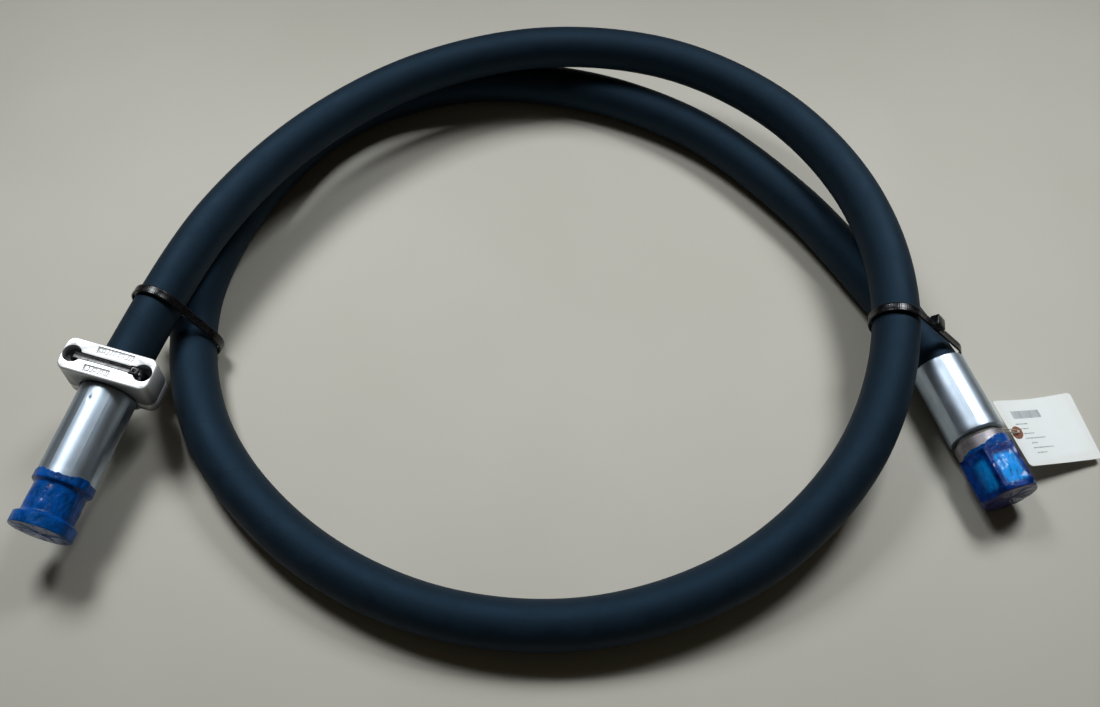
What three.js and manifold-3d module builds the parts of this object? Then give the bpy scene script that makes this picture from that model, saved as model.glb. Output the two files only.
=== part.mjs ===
// Hydraulic hose assembly: a four-spiral rubber hose laid in one and a half turns, with a flange head
// on one end, a swivel nut on the other, a two-piece clamp and three cable ties. Millimetres, +Z up.
// The floor that it lies on is z = 0, and the origin is the middle of its outline on that floor.
import * as THREE from 'three';
import { mergeVertices } from 'three/addons/utils/BufferGeometryUtils.js';
import Module from 'manifold-3d';

const wasm = await Module();
wasm.setup();

// ---------------------------------------------------------------------------- driving dimensions
const clearance = 0.3;

const hose = { diameter: 38, coverWall: 1.6, wireWall: 2.3, tubeWall: 1.7, sides: 10, steps: 56 };
hose.boreDiameter = hose.diameter - 2 * (hose.coverWall + hose.wireWall + hose.tubeWall + 2 * clearance);

// The hose's centreline, from its cut end in the flange fitting to its cut end in the swivel fitting.
const hoseRoute = [
  [-384, -171, 46.5], [-369, -109, 50.5], [-361, -78, 52.5], [-312, 58, 62.5], [-242, 165, 61],
  [-146, 242, 60], [-30, 278, 60], [91, 262, 60], [189, 193, 60], [248, 85, 61],
  [257, -38, 59.5], [216, -151, 46], [130, -235, 29], [14, -277, 20.5], [-108, -270, 19.3],
  [-218, -215, 19.3], [-299, -121, 19.8], [-327, -6, 21.2], [-300, 115, 19.6], [-230, 217, 19.3],
  [-122, 269, 19.3], [0, 264, 19.3], [112, 212, 19.3], [200, 121, 19.3], [253, 35, 19.8],
  [278, -15, 21.8], [298, -60, 22.4], [312, -107.5, 22.4],
].map((point) => new THREE.Vector3(...point));

const ferrule = { wall: 2.6, flangeEndLength: 80, swivelEndLength: 68, endWall: 12, mouthChamfer: 1.2 };
ferrule.boreDiameter = hose.diameter + 2 * clearance + 0.2;
ferrule.diameter = ferrule.boreDiameter + 2 * ferrule.wall;
const insert = { tailGap: 1.2, tailWall: 2.1, barbDepth: 0.8, lockDiameter: 26, lockWidth: 5 };
insert.tailDiameter = hose.boreDiameter - 2 * insert.tailGap;
insert.boreDiameter = insert.tailDiameter - 2 * insert.tailWall;
insert.shoulderDiameter = 32;

const flangeHead = { diameter: 44.45, thickness: 8, neckDiameter: 38, neckLength: 27 };
const oRing = { meanDiameter: 34, section: 2.6, grooveWidth: 3.4, grooveDepth: 2.8 };
const flangeCap = { wall: 0.6, skirt: 7 };
const film = { thickness: 0.3, ferruleOverlap: 5, shoulderOverlap: 6 };

const nut = { acrossFlats: 41.3, hexLength: 34, shoulderDiameter: 41, shoulderLength: 14.5 };
nut.threadDiameter = 36;
nut.neckDiameter = 27.2;
nut.shelf = 20.2;
nut.gapToFerrule = 3.5;
const retainingWire = { diameter: 1.9, opening: 0.5 };
const plug = { length: 15, rimDiameter: 39, rimThickness: 1.7, wall: 2 };

const clamp = { length: 72.6, width: 28, cornerRadius: 7, upperHeight: 30, earHeight: 12, shellWall: 2.8 };
clamp.ferruleOverlap = 0.7;
clamp.mouthDepth = 3.5;
clamp.hoseClearance = 0.9;
clamp.roll = THREE.MathUtils.degToRad(-8);
const clampBolt = { spacing: 56, holeDiameter: 7, boreDiameter: 14.5, boreDepth: 9 };
const clampGroove = { width: 5.8, depth: 2.6 };
const plaque = { depth: 0.6, rearLength: 29, frontLength: 20, width: 6.2, offset: 8.5 };

const smallTie = { width: 4.8, thickness: 1.3, headLength: 7, headWidth: 6.6, headHeight: 4.6 };
const largeTie = { width: 7.6, thickness: 1.5, headLength: 11, headWidth: 10, headHeight: 7.5 };
largeTie.slack = 1.5;
largeTie.floorSlack = 0.4;
const leftTieStation = 149;
const rightTieStation = 1109;

const tag = { length: 68, width: 60, thickness: 0.4, cornerRadius: 3, holeDiameter: 4, holeInset: 6 };
tag.nearMiddle = new THREE.Vector3(348.2, -120, 20);
tag.azimuth = THREE.MathUtils.degToRad(18);
tag.droop = THREE.MathUtils.degToRad(14);
const eyelet = { diameter: 11, wall: 0.5 };
const tagString = { diameter: 1.2, loopClearance: 0.9, pitch: 1.7 };

const roundSegments = 24;

// ------------------------------------------------------------------------------ shared geometry
// Swaps the winding of a closed geometry whose faces point inwards.
function facingOut(geometry) {
  const flat = geometry.index ? geometry.toNonIndexed() : geometry;
  const position = flat.getAttribute('position');
  const corner = (i) => new THREE.Vector3().fromBufferAttribute(position, i);
  let volume = 0;
  for (let i = 0; i < position.count; i += 3) {
    volume += corner(i).dot(corner(i + 1).cross(corner(i + 2)));
  }
  if (volume < 0) {
    for (let i = 0; i < position.count; i += 3) {
      const [second, third] = [corner(i + 1), corner(i + 2)];
      position.setXYZ(i + 1, third.x, third.y, third.z);
      position.setXYZ(i + 2, second.x, second.y, second.z);
    }
  }
  return flat;
}

function toSolid(geometry) {
  const bare = facingOut(geometry.clone());
  bare.deleteAttribute('normal');
  bare.deleteAttribute('uv');
  const merged = mergeVertices(bare, 1e-4);
  const vertProperties = new Float32Array(merged.getAttribute('position').array);
  const triVerts = new Uint32Array(merged.index.array);
  return new wasm.Manifold(new wasm.Mesh({ numProp: 3, vertProperties, triVerts }));
}

function toGeometry(solid) {
  const mesh = solid.getMesh();
  const geometry = new THREE.BufferGeometry();
  geometry.setAttribute('position', new THREE.BufferAttribute(mesh.vertProperties, mesh.numProp));
  geometry.setIndex(new THREE.BufferAttribute(mesh.triVerts, 1));
  return geometry;
}

// Turns a closed outline of [radius, station] points about the Y axis.
function revolved(outline, segments = roundSegments) {
  const closed = [...outline, outline[0]].map(([radius, station]) => new THREE.Vector2(radius, station));
  return facingOut(new THREE.LatheGeometry(closed, segments));
}

// Turns an outline that starts and ends on the Y axis.
function revolvedCap(outline, segments = roundSegments) {
  const points = outline.map(([radius, station]) => new THREE.Vector2(radius, station));
  return facingOut(new THREE.LatheGeometry(points, segments));
}

// A round bar along Y, from one station to another.
function barAlongY(radius, from, to, segments = roundSegments) {
  const geometry = new THREE.CylinderGeometry(radius, radius, to - from, segments);
  return geometry.translate(0, (from + to) / 2, 0);
}

function barAlongZ(radius, x, y, from, to, segments = roundSegments) {
  const geometry = new THREE.CylinderGeometry(radius, radius, to - from, segments);
  return geometry.rotateX(Math.PI / 2).translate(x, y, (from + to) / 2);
}

function block(sizeX, sizeY, sizeZ, x, y, z) {
  return new THREE.BoxGeometry(sizeX, sizeY, sizeZ).translate(x, y, z);
}

function polygonPath(radius, sides, Type = THREE.Shape) {
  const path = new Type();
  const corners = Array.from({ length: sides }, (_, i) => (i + 0.5) * 2 * Math.PI / sides);
  path.setFromPoints(corners.map((a) => new THREE.Vector2(radius * Math.cos(a), radius * Math.sin(a))));
  path.closePath();
  return path;
}

// A hexagonal bar along Y with one flat at the bottom.
function hexBarAlongY(acrossFlats, from, to) {
  const radius = acrossFlats / 2 / Math.cos(Math.PI / 6);
  const geometry = new THREE.CylinderGeometry(radius, radius, to - from, 6);
  return geometry.rotateY(Math.PI / 6).translate(0, (from + to) / 2, 0);
}

function roundedRectangle(length, width, radius, x = 0, y = 0) {
  const [left, right, low, high] = [x - length / 2, x + length / 2, y - width / 2, y + width / 2];
  const shape = new THREE.Shape();
  shape.absarc(right - radius, low + radius, radius, -Math.PI / 2, 0);
  shape.absarc(right - radius, high - radius, radius, 0, Math.PI / 2);
  shape.absarc(left + radius, high - radius, radius, Math.PI / 2, Math.PI);
  shape.absarc(left + radius, low + radius, radius, Math.PI, Math.PI * 1.5);
  return shape;
}

// The convex outline round a set of points, counter-clockwise.
function convexOutline(points) {
  const sorted = [...points].sort((a, b) => a.x - b.x || a.y - b.y);
  const turn = (a, b, c) => (b.x - a.x) * (c.y - a.y) - (b.y - a.y) * (c.x - a.x);
  const half = (list) => {
    const chain = [];
    for (const point of list) {
      while (chain.length > 1 && turn(chain.at(-2), chain.at(-1), point) <= 1e-6) chain.pop();
      chain.push(point);
    }
    return chain.slice(0, -1);
  };
  return [...half(sorted), ...half(sorted.reverse())];
}

// A flat band that follows two outlines in the XZ plane, as wide along Y as asked.
function strapLoop(inner, outer, width) {
  const shape = new THREE.Shape(outer);
  shape.holes.push(new THREE.Path(inner));
  const geometry = new THREE.ExtrudeGeometry(shape, { depth: width, bevelEnabled: false });
  return geometry.rotateX(Math.PI / 2).translate(0, width / 2, 0);
}

function ellipsePoints(centre, radiusX, radiusY, count) {
  return Array.from({ length: count }, (_, i) => {
    const angle = i * 2 * Math.PI / count;
    return new THREE.Vector2(centre.x + radiusX * Math.cos(angle), centre.y + radiusY * Math.sin(angle));
  });
}

// ------------------------------------------------------------------------------------ materials
const finish = (color, roughness, metalness = 0) => ({ color, roughness, metalness });
const finishes = {
  coverRubber: finish(0x1f2b35, 0.85),
  tubeRubber: finish(0x18191b, 0.7),
  springSteel: finish(0x8b8f93, 0.4, 1),
  platedSteel: finish(0xc3c8cc, 0.28, 1),
  castAluminium: finish(0xb9bec2, 0.45, 1),
  blackNylon: finish(0x111214, 0.4),
  blueFilm: finish(0x0b3fae, 0.18),
  bluePlastic: finish(0x174a9c, 0.4),
  sealRubber: finish(0x141414, 0.6),
  tagCard: finish(0xe9ebe6, 0.8),
  eyeletFibre: finish(0x8a4a34, 0.7),
  cottonString: finish(0xcfc6ae, 0.9),
};

const assembly = new THREE.Group();

function addPiece(parent, name, geometry, surface) {
  const mesh = new THREE.Mesh(geometry, new THREE.MeshStandardMaterial(surface));
  mesh.name = name;
  parent.add(mesh);
}

// ----------------------------------------------------------------------------------------- hose
const route = new THREE.CatmullRomCurve3(hoseRoute, false, 'centripetal');
route.arcLengthDivisions = 800;

// A layer of the hose: a tube from one wall to the other along the whole route.
function hoseLayer(outerRadius, innerRadius) {
  const section = polygonPath(outerRadius, hose.sides);
  section.holes.push(polygonPath(innerRadius, hose.sides, THREE.Path));
  const options = { steps: hose.steps, bevelEnabled: false, extrudePath: route };
  return facingOut(new THREE.ExtrudeGeometry(section, options));
}

function addHose() {
  const coverRadius = hose.diameter / 2;
  const wireRadius = coverRadius - hose.coverWall - clearance;
  const tubeRadius = wireRadius - hose.wireWall - clearance;
  addPiece(assembly, 'hose_cover', hoseLayer(coverRadius, coverRadius - hose.coverWall), finishes.coverRubber);
  addPiece(assembly, 'hose_wire_spirals', hoseLayer(wireRadius, wireRadius - hose.wireWall), finishes.springSteel);
  addPiece(assembly, 'hose_inner_tube', hoseLayer(tubeRadius, hose.boreDiameter / 2), finishes.tubeRubber);
}

// ------------------------------------------------------------------------------------- fittings
// A fitting's own frame: station 0 is the ferrule's mouth, +Y runs out along the fitting, +Z is up.
function fittingFrame(hoseEnd, beforeEnd) {
  const outward = hoseEnd.clone().sub(beforeEnd).normalize();
  const up = new THREE.Vector3(0, 0, 1).addScaledVector(outward, -outward.z).normalize();
  const side = outward.clone().cross(up);
  const frame = new THREE.Group();
  frame.position.copy(beforeEnd);
  frame.quaternion.setFromRotationMatrix(new THREE.Matrix4().makeBasis(side, outward, up));
  assembly.add(frame);
  return frame;
}

const flangeEnd = fittingFrame(hoseRoute[0], hoseRoute[1]);
const swivelEnd = fittingFrame(hoseRoute.at(-1), hoseRoute.at(-2));

function ferruleGeometry(length) {
  const wallStation = length - ferrule.endWall;
  const radius = ferrule.diameter / 2;
  const bore = ferrule.boreDiameter / 2;
  const lock = insert.lockDiameter / 2 + clearance;
  const shoulder = insert.shoulderDiameter / 2 + clearance;
  const lockEnd = wallStation + insert.lockWidth - 2 * clearance;
  const chamfer = ferrule.mouthChamfer;
  return revolved([
    [bore, 0], [radius - chamfer, 0], [radius, chamfer], [radius, length - chamfer],
    [radius - chamfer, length], [shoulder, length], [shoulder, lockEnd],
    [lock, lockEnd], [lock, wallStation], [bore, wallStation],
  ]);
}

// The part of an insert that both ends share: a barbed tail inside the hose, a stop, and a lock groove.
function insertTail(ferruleLength, hoseEndStation) {
  const wallStation = ferruleLength - ferrule.endWall;
  const tail = insert.tailDiameter / 2;
  const bore = insert.boreDiameter / 2;
  const shoulder = insert.shoulderDiameter / 2;
  const tailStart = 6;
  const barbPitch = 14;
  const barbs = Math.floor((hoseEndStation - tailStart - 4 - barbPitch / 2) / barbPitch) + 1;
  const points = [[bore, tailStart], [tail - insert.barbDepth, tailStart]];
  for (let barb = 0; barb < barbs; barb += 1) {
    const station = tailStart + 4 + barb * barbPitch;
    points.push([tail, station], [tail, station + 6], [tail - insert.barbDepth, station + 7]);
  }
  const stop = hoseEndStation + clearance + 0.3;
  points.push([tail - insert.barbDepth, stop], [shoulder, stop], [shoulder, wallStation - clearance]);
  points.push([insert.lockDiameter / 2, wallStation - clearance]);
  points.push([insert.lockDiameter / 2, wallStation + insert.lockWidth]);
  points.push([shoulder, wallStation + insert.lockWidth]);
  return points;
}

const neckStation = ferrule.flangeEndLength + clearance;
const flangeBack = neckStation + flangeHead.neckLength;
const flangeFace = flangeBack + flangeHead.thickness;

function flangeInsert() {
  const shoulder = insert.shoulderDiameter / 2;
  const neck = flangeHead.neckDiameter / 2;
  const head = flangeHead.diameter / 2;
  const ringMiddle = oRing.meanDiameter / 2;
  const ringFloor = flangeFace - oRing.grooveDepth;
  const halfGroove = oRing.grooveWidth / 2;
  const tail = insertTail(ferrule.flangeEndLength, hoseRoute[0].distanceTo(hoseRoute[1]));
  return revolved([
    ...tail, [shoulder, neckStation], [neck, neckStation], [neck, flangeBack - 1.5],
    [neck + 1.2, flangeBack], [head, flangeBack], [head, flangeFace - 0.6], [head - 0.6, flangeFace],
    [ringMiddle + halfGroove, flangeFace], [ringMiddle + halfGroove, ringFloor],
    [ringMiddle - halfGroove, ringFloor], [ringMiddle - halfGroove, flangeFace],
    [insert.boreDiameter / 2, flangeFace],
  ]);
}

function flangeSeal() {
  const middle = flangeFace - oRing.grooveDepth / 2;
  const circle = ellipsePoints(new THREE.Vector2(oRing.meanDiameter / 2, middle), oRing.section / 2,
    oRing.section / 2 - 0.1, 8);
  return revolved(circle.map((point) => [point.x, point.y]));
}

const capInner = flangeHead.diameter / 2 + clearance;
const capOuter = capInner + flangeCap.wall;
const capFace = flangeFace + clearance + flangeCap.wall;

function flangeCapGeometry() {
  const skirtStation = flangeFace - flangeCap.skirt;
  return revolvedCap([
    [0, capFace - flangeCap.wall], [capInner, capFace - flangeCap.wall], [capInner, skirtStation],
    [capOuter, skirtStation], [capOuter, capFace - 0.5], [capOuter - 0.5, capFace], [0, capFace],
  ]);
}

// The shrunk film is cut behind the flange head, so that what covers the cap can come away with it.
const filmOverCap = capOuter + clearance;
const filmCut = flangeFace - flangeCap.skirt - clearance;

// The film that stays: over the ferrule's end, along the neck and up the back of the flange head.
function neckFilmGeometry() {
  const wall = film.thickness;
  const overFerrule = ferrule.diameter / 2 + clearance;
  const overNeck = flangeHead.neckDiameter / 2 + clearance;
  const rim = filmCut - clearance;
  const riserTop = flangeBack - clearance;
  const ferruleEnd = ferrule.flangeEndLength;
  const start = ferruleEnd - film.ferruleOverlap;
  return revolved([
    [overFerrule, start], [overFerrule + wall, start], [overFerrule + wall, ferruleEnd + 0.8],
    [overNeck + wall, neckStation + 2.3], [overNeck + wall, riserTop - 2.5],
    [filmOverCap + wall, riserTop - 0.5], [filmOverCap + wall, rim], [filmOverCap, rim],
    [filmOverCap, riserTop], [overNeck, riserTop - 2], [overNeck, neckStation + 2], [overFerrule, ferruleEnd + 0.5],
  ]);
}

function endFilmGeometry() {
  const face = capFace + clearance;
  const outer = filmOverCap + film.thickness;
  return revolvedCap([
    [0, face], [filmOverCap, face], [filmOverCap, filmCut], [outer, filmCut],
    [outer, face + film.thickness], [0, face + film.thickness],
  ]);
}

function addFlangeEnd() {
  addPiece(flangeEnd, 'flange_end_ferrule', ferruleGeometry(ferrule.flangeEndLength), finishes.platedSteel);
  addPiece(flangeEnd, 'flange_end_insert', flangeInsert(), finishes.platedSteel);
  addPiece(flangeEnd, 'flange_end_o_ring', flangeSeal(), finishes.sealRubber);
  addPiece(flangeEnd, 'flange_end_cap', flangeCapGeometry(), finishes.bluePlastic);
  addPiece(flangeEnd, 'flange_neck_film', neckFilmGeometry(), finishes.blueFilm);
  addPiece(flangeEnd, 'flange_end_film', endFilmGeometry(), finishes.blueFilm);
}

// ----------------------------------------------------------------------------------- swivel end
const nutStart = ferrule.swivelEndLength + nut.gapToFerrule;
const hexStart = nutStart + nut.shoulderLength;
const nutEnd = hexStart + nut.hexLength;
const shelfStation = nutStart + nut.shelf;
const wireStation = nutStart + nut.shoulderLength / 2;

function swivelInsert() {
  const shoulder = insert.shoulderDiameter / 2;
  const neck = nut.neckDiameter / 2 - clearance;
  const head = nut.threadDiameter / 2 - 2;
  const wireRadius = retainingWire.diameter / 2;
  const grooveFloor = nut.neckDiameter / 2 - wireRadius - clearance;
  const grooveHalf = wireRadius + clearance;
  const headStart = shelfStation + clearance;
  const face = headStart + 6.5;
  const tail = insertTail(ferrule.swivelEndLength, hoseRoute.at(-1).distanceTo(hoseRoute.at(-2)));
  return revolved([
    ...tail, [shoulder, nutStart - clearance], [neck, nutStart - clearance],
    [neck, wireStation - grooveHalf], [grooveFloor, wireStation - grooveHalf],
    [grooveFloor, wireStation + grooveHalf], [neck, wireStation + grooveHalf], [neck, headStart],
    [head, headStart], [head, face - 0.8], [head - 0.8, face], [insert.boreDiameter / 2, face],
  ]);
}

function nutGeometry() {
  const neck = nut.neckDiameter / 2;
  const shoulder = nut.shoulderDiameter / 2;
  const corner = nut.acrossFlats / 2 / Math.cos(Math.PI / 6);
  const wireRadius = retainingWire.diameter / 2 + clearance;
  const chamferCone = revolvedCap([
    [0, nutStart], [shoulder - 0.8, nutStart], [shoulder, nutStart + 0.8], [shoulder, hexStart - 0.5],
    [corner + 0.3, hexStart + 1.2], [corner + 0.3, nutEnd - 1.6], [corner - 2.2, nutEnd], [0, nutEnd],
  ]);
  const hexagon = toSolid(hexBarAlongY(nut.acrossFlats, hexStart - 0.5, nutEnd));
  const body = toSolid(barAlongY(shoulder, nutStart - 1, hexStart + 1)).add(hexagon);
  const bore = revolvedCap([
    [0, nutStart - 1], [neck, nutStart - 1], [neck, wireStation - wireRadius],
    [neck + wireRadius, wireStation - wireRadius], [neck + wireRadius, wireStation + wireRadius],
    [neck, wireStation + wireRadius], [neck, shelfStation], [nut.threadDiameter / 2, shelfStation],
    [nut.threadDiameter / 2, nutEnd + 1], [0, nutEnd + 1],
  ]);
  return toGeometry(body.intersect(toSolid(chamferCone)).subtract(toSolid(bore)));
}

// A round wire bent into a ring, open at its two ends.
class OpenRing extends THREE.Curve {
  constructor(radius, station, opening) {
    super();
    Object.assign(this, { radius, station, opening });
  }

  getPoint(t, target = new THREE.Vector3()) {
    const angle = this.opening / 2 + t * (2 * Math.PI - this.opening);
    return target.set(this.radius * Math.cos(angle), this.station, this.radius * Math.sin(angle));
  }
}

function wireGeometry() {
  const path = new OpenRing(nut.neckDiameter / 2, wireStation, retainingWire.opening);
  const section = polygonPath(retainingWire.diameter / 2, 6);
  return facingOut(new THREE.ExtrudeGeometry(section, { steps: 20, bevelEnabled: false, extrudePath: path }));
}

const plugFace = nutEnd + clearance + plug.rimThickness;

function plugGeometry() {
  const body = nut.threadDiameter / 2 - clearance;
  const bottom = plugFace - plug.length;
  return revolvedCap([
    [0, bottom], [body - 1, bottom], [body, bottom + 1], [body, nutEnd + clearance],
    [plug.rimDiameter / 2, nutEnd + clearance], [plug.rimDiameter / 2, plugFace],
    [body - plug.wall, plugFace], [body - plug.wall, bottom + plug.wall], [0, bottom + plug.wall],
  ]);
}

// Shrunk film over the nut, cut behind the hexagon: a band stays on the round shoulder, and a sleeve
// over the hexagon, closed over the plug's face, can come away with the plug.
const collarFilmEnd = hexStart - 1 - clearance;

function collarFilmGeometry() {
  const inner = nut.shoulderDiameter / 2 + clearance;
  const start = hexStart - film.shoulderOverlap;
  const outer = inner + film.thickness;
  return revolved([[inner, start], [outer, start], [outer, collarFilmEnd], [inner, collarFilmEnd]]);
}

function swivelFilmGeometry() {
  const face = plugFace + clearance;
  const inner = nut.acrossFlats + 2 * clearance;
  const outer = inner + 2 * film.thickness;
  const sleeve = toSolid(hexBarAlongY(outer, collarFilmEnd + clearance, face + film.thickness));
  return toGeometry(sleeve.subtract(toSolid(hexBarAlongY(inner, collarFilmEnd, face))));
}

function addSwivelEnd() {
  addPiece(swivelEnd, 'swivel_end_ferrule', ferruleGeometry(ferrule.swivelEndLength), finishes.platedSteel);
  addPiece(swivelEnd, 'swivel_end_insert', swivelInsert(), finishes.platedSteel);
  addPiece(swivelEnd, 'swivel_nut', nutGeometry(), finishes.platedSteel);
  addPiece(swivelEnd, 'swivel_retaining_wire', wireGeometry(), finishes.springSteel);
  addPiece(swivelEnd, 'swivel_end_plug', plugGeometry(), finishes.bluePlastic);
  addPiece(swivelEnd, 'swivel_collar_film', collarFilmGeometry(), finishes.blueFilm);
  addPiece(swivelEnd, 'swivel_end_film', swivelFilmGeometry(), finishes.blueFilm);
}

// ---------------------------------------------------------------------------------------- clamp
// The clamp sits on the hose at the flange end, with its mouth over the ferrule's first millimetres.
const clampFront = clamp.ferruleOverlap;
const clampMiddle = clampFront - clamp.width / 2;
const clampBore = hose.diameter / 2 + clamp.hoseClearance;
const clampMouth = ferrule.diameter / 2 + 1.2;
const clampCut = 1;

function clampPlan(height, from) {
  const plan = roundedRectangle(clamp.length, clamp.width, clamp.cornerRadius, 0, clampMiddle);
  const options = { depth: height, bevelEnabled: false, curveSegments: 4 };
  return new THREE.ExtrudeGeometry(plan, options).translate(0, 0, from);
}

// The hose's channel, the ferrule's mouth and the two bolt holes, which both halves share.
function clampHollows() {
  const channel = toSolid(barAlongY(clampBore, clampFront - clamp.width - clampCut, clampFront, 32));
  const mouth = toSolid(barAlongY(clampMouth, clampFront - clamp.mouthDepth, clampFront + clampCut, 32));
  const holes = [-1, 1].map((side) => toSolid(barAlongZ(clampBolt.holeDiameter / 2,
    side * clampBolt.spacing / 2, clampMiddle, -clamp.upperHeight, clamp.upperHeight + clampCut, 16)));
  return channel.add(mouth).add(holes[0]).add(holes[1]);
}

function recess(length, width, depth, x, y) {
  return toSolid(block(length, width, 2 * depth, x, clampMiddle + y, clamp.upperHeight));
}

const tieHeadX = -clampBolt.spacing / 2 + 6.5;

function upperHalfGeometry() {
  let half = toSolid(clampPlan(clamp.upperHeight - clearance / 2, clearance / 2)).subtract(clampHollows());
  for (const side of [-1, 1]) {
    const bore = barAlongZ(clampBolt.boreDiameter / 2, side * clampBolt.spacing / 2, clampMiddle,
      clamp.upperHeight - clampBolt.boreDepth, clamp.upperHeight + clampCut);
    half = half.subtract(toSolid(bore));
  }
  const headPocket = smallTie.headHeight + 0.8;
  half = half.subtract(recess(clampBolt.spacing, clampGroove.width, clampGroove.depth, 0, 0));
  half = half.subtract(recess(smallTie.headLength + 0.8, smallTie.headWidth + 0.8, headPocket, tieHeadX, 0));
  half = half.subtract(recess(plaque.rearLength, plaque.width, plaque.depth, -3, -plaque.offset));
  half = half.subtract(recess(plaque.frontLength, plaque.width, plaque.depth, 5, plaque.offset));
  return toGeometry(half);
}

function lowerHalfGeometry() {
  const ears = toSolid(clampPlan(clamp.earHeight - clearance / 2, -clamp.earHeight));
  const shellRadius = clampMouth + clamp.shellWall;
  const shell = toSolid(barAlongY(shellRadius, clampFront - clamp.width, clampFront, 32));
  const below = toSolid(block(2 * shellRadius, 2 * clamp.width, shellRadius, 0, clampMiddle,
    -shellRadius / 2 - clearance / 2));
  return toGeometry(ears.add(shell.intersect(below)).subtract(clampHollows()));
}

// The tie runs along the top groove, down both bolt holes and round under the lower half.
function smallTieGeometry() {
  const innerX = clampBolt.spacing / 2 - smallTie.thickness / 2;
  const innerTop = clamp.upperHeight - clampGroove.depth + clearance;
  const shellRadius = clampMouth + clamp.shellWall + clearance;
  const outline = (extra) => {
    const top = [-1, 1].map((side) => new THREE.Vector2(side * (innerX + extra), innerTop + extra));
    const ears = [-1, 1].map((side) =>
      new THREE.Vector2(side * (innerX + extra), -clamp.earHeight - clearance - extra));
    const circle = ellipsePoints(new THREE.Vector2(), shellRadius + extra, shellRadius + extra, 32);
    return convexOutline([...top, ...ears, ...circle.filter((point) => point.y < -clamp.earHeight)]);
  };
  const loop = toSolid(strapLoop(outline(0), outline(smallTie.thickness), smallTie.width));
  const headMiddle = clamp.upperHeight - 0.2 - smallTie.headHeight / 2;
  const head = toSolid(block(smallTie.headLength, smallTie.headWidth, smallTie.headHeight,
    tieHeadX, 0, headMiddle));
  return toGeometry(loop.add(head)).translate(0, clampMiddle, 0);
}

function addClamp() {
  const frame = new THREE.Group();
  frame.rotation.y = clamp.roll;
  flangeEnd.add(frame);
  addPiece(frame, 'clamp_upper_half', upperHalfGeometry(), finishes.castAluminium);
  addPiece(frame, 'clamp_lower_half', lowerHalfGeometry(), finishes.castAluminium);
  addPiece(frame, 'clamp_cable_tie', smallTieGeometry(), finishes.blackNylon);
}

// ------------------------------------------------------------------------------------ large ties
// Where the hose passes a plane a second time, at least a quarter of a turn away along the route.
function otherPass(station, origin, normal) {
  const samples = 1200;
  const length = route.getLength();
  const height = (i) => route.getPointAt(i / samples).sub(origin).dot(normal);
  for (let i = 0; i < samples; i += 1) {
    const near = route.getPointAt(i / samples).distanceTo(origin) < 3 * hose.diameter;
    const apart = Math.abs(i / samples * length - station) > 8 * hose.diameter;
    if (near && apart && height(i) * height(i + 1) <= 0) {
      const share = (i + height(i) / (height(i) - height(i + 1))) / samples;
      return { point: route.getPointAt(share), tangent: route.getTangentAt(share) };
    }
  }
  throw new Error('the tie finds no second pass of the hose');
}

// A tie round both passes, square to the upper one. Its head lies along the straight run of the strap,
// a share of the way from the upper pass to the lower one, on the side of the given sign.
function addLargeTie(name, station, headShare, headSide) {
  const share = station / route.getLength();
  const origin = route.getPointAt(share);
  const normal = route.getTangentAt(share).setZ(0).normalize();
  const up = new THREE.Vector3(0, 0, 1);
  const side = normal.clone().cross(up);
  const lower = otherPass(station, origin, normal);
  const offset = lower.point.clone().sub(origin);
  const lowerCentre = new THREE.Vector2(offset.dot(side), offset.z);
  const slope = Math.abs(lower.tangent.dot(side) / lower.tangent.dot(normal));
  const radius = hose.diameter / 2 + largeTie.slack;
  const snug = hose.diameter / 2 + largeTie.floorSlack;
  const stretched = radius * Math.hypot(1, slope) + slope * largeTie.width / 2;
  const aside = new THREE.Vector2(stretched - snug, 0);
  const outline = (extra) => convexOutline([
    ...ellipsePoints(new THREE.Vector2(), radius + extra, radius + extra, 28),
    ...ellipsePoints(lowerCentre.clone().add(aside), snug + extra, snug + extra, 28),
    ...ellipsePoints(lowerCentre.clone().sub(aside), snug + extra, snug + extra, 28),
  ]);
  const loop = toSolid(strapLoop(outline(0), outline(largeTie.thickness), largeTie.width));
  const across = new THREE.Vector2(-lowerCentre.y, lowerCentre.x).normalize().multiplyScalar(headSide);
  const reach = THREE.MathUtils.lerp(radius, radius + (stretched - radius) * Math.abs(across.x), headShare)
    + largeTie.thickness / 2 + largeTie.headHeight / 2;
  const middle = lowerCentre.clone().multiplyScalar(headShare).addScaledVector(across, reach);
  const head = block(largeTie.headLength, largeTie.headWidth, largeTie.headHeight, 0, 0, 0);
  head.rotateY(-Math.atan2(lowerCentre.y, lowerCentre.x)).translate(middle.x, 0, middle.y);
  const frame = new THREE.Group();
  frame.position.copy(origin);
  frame.quaternion.setFromRotationMatrix(new THREE.Matrix4().makeBasis(side, normal, up));
  assembly.add(frame);
  addPiece(frame, name, toGeometry(loop.add(toSolid(head))), finishes.blackNylon);
}

// ------------------------------------------------------------------------------------------ tag
const tagHole = new THREE.Vector2(tag.holeInset, 0);

function tagGeometry() {
  const outline = roundedRectangle(tag.length, tag.width, tag.cornerRadius, tag.length / 2, 0);
  outline.holes.push(new THREE.Path().absarc(tagHole.x, tagHole.y, tag.holeDiameter / 2, 0, 2 * Math.PI));
  return new THREE.ExtrudeGeometry(outline, { depth: tag.thickness, bevelEnabled: false, curveSegments: 6 });
}

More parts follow.
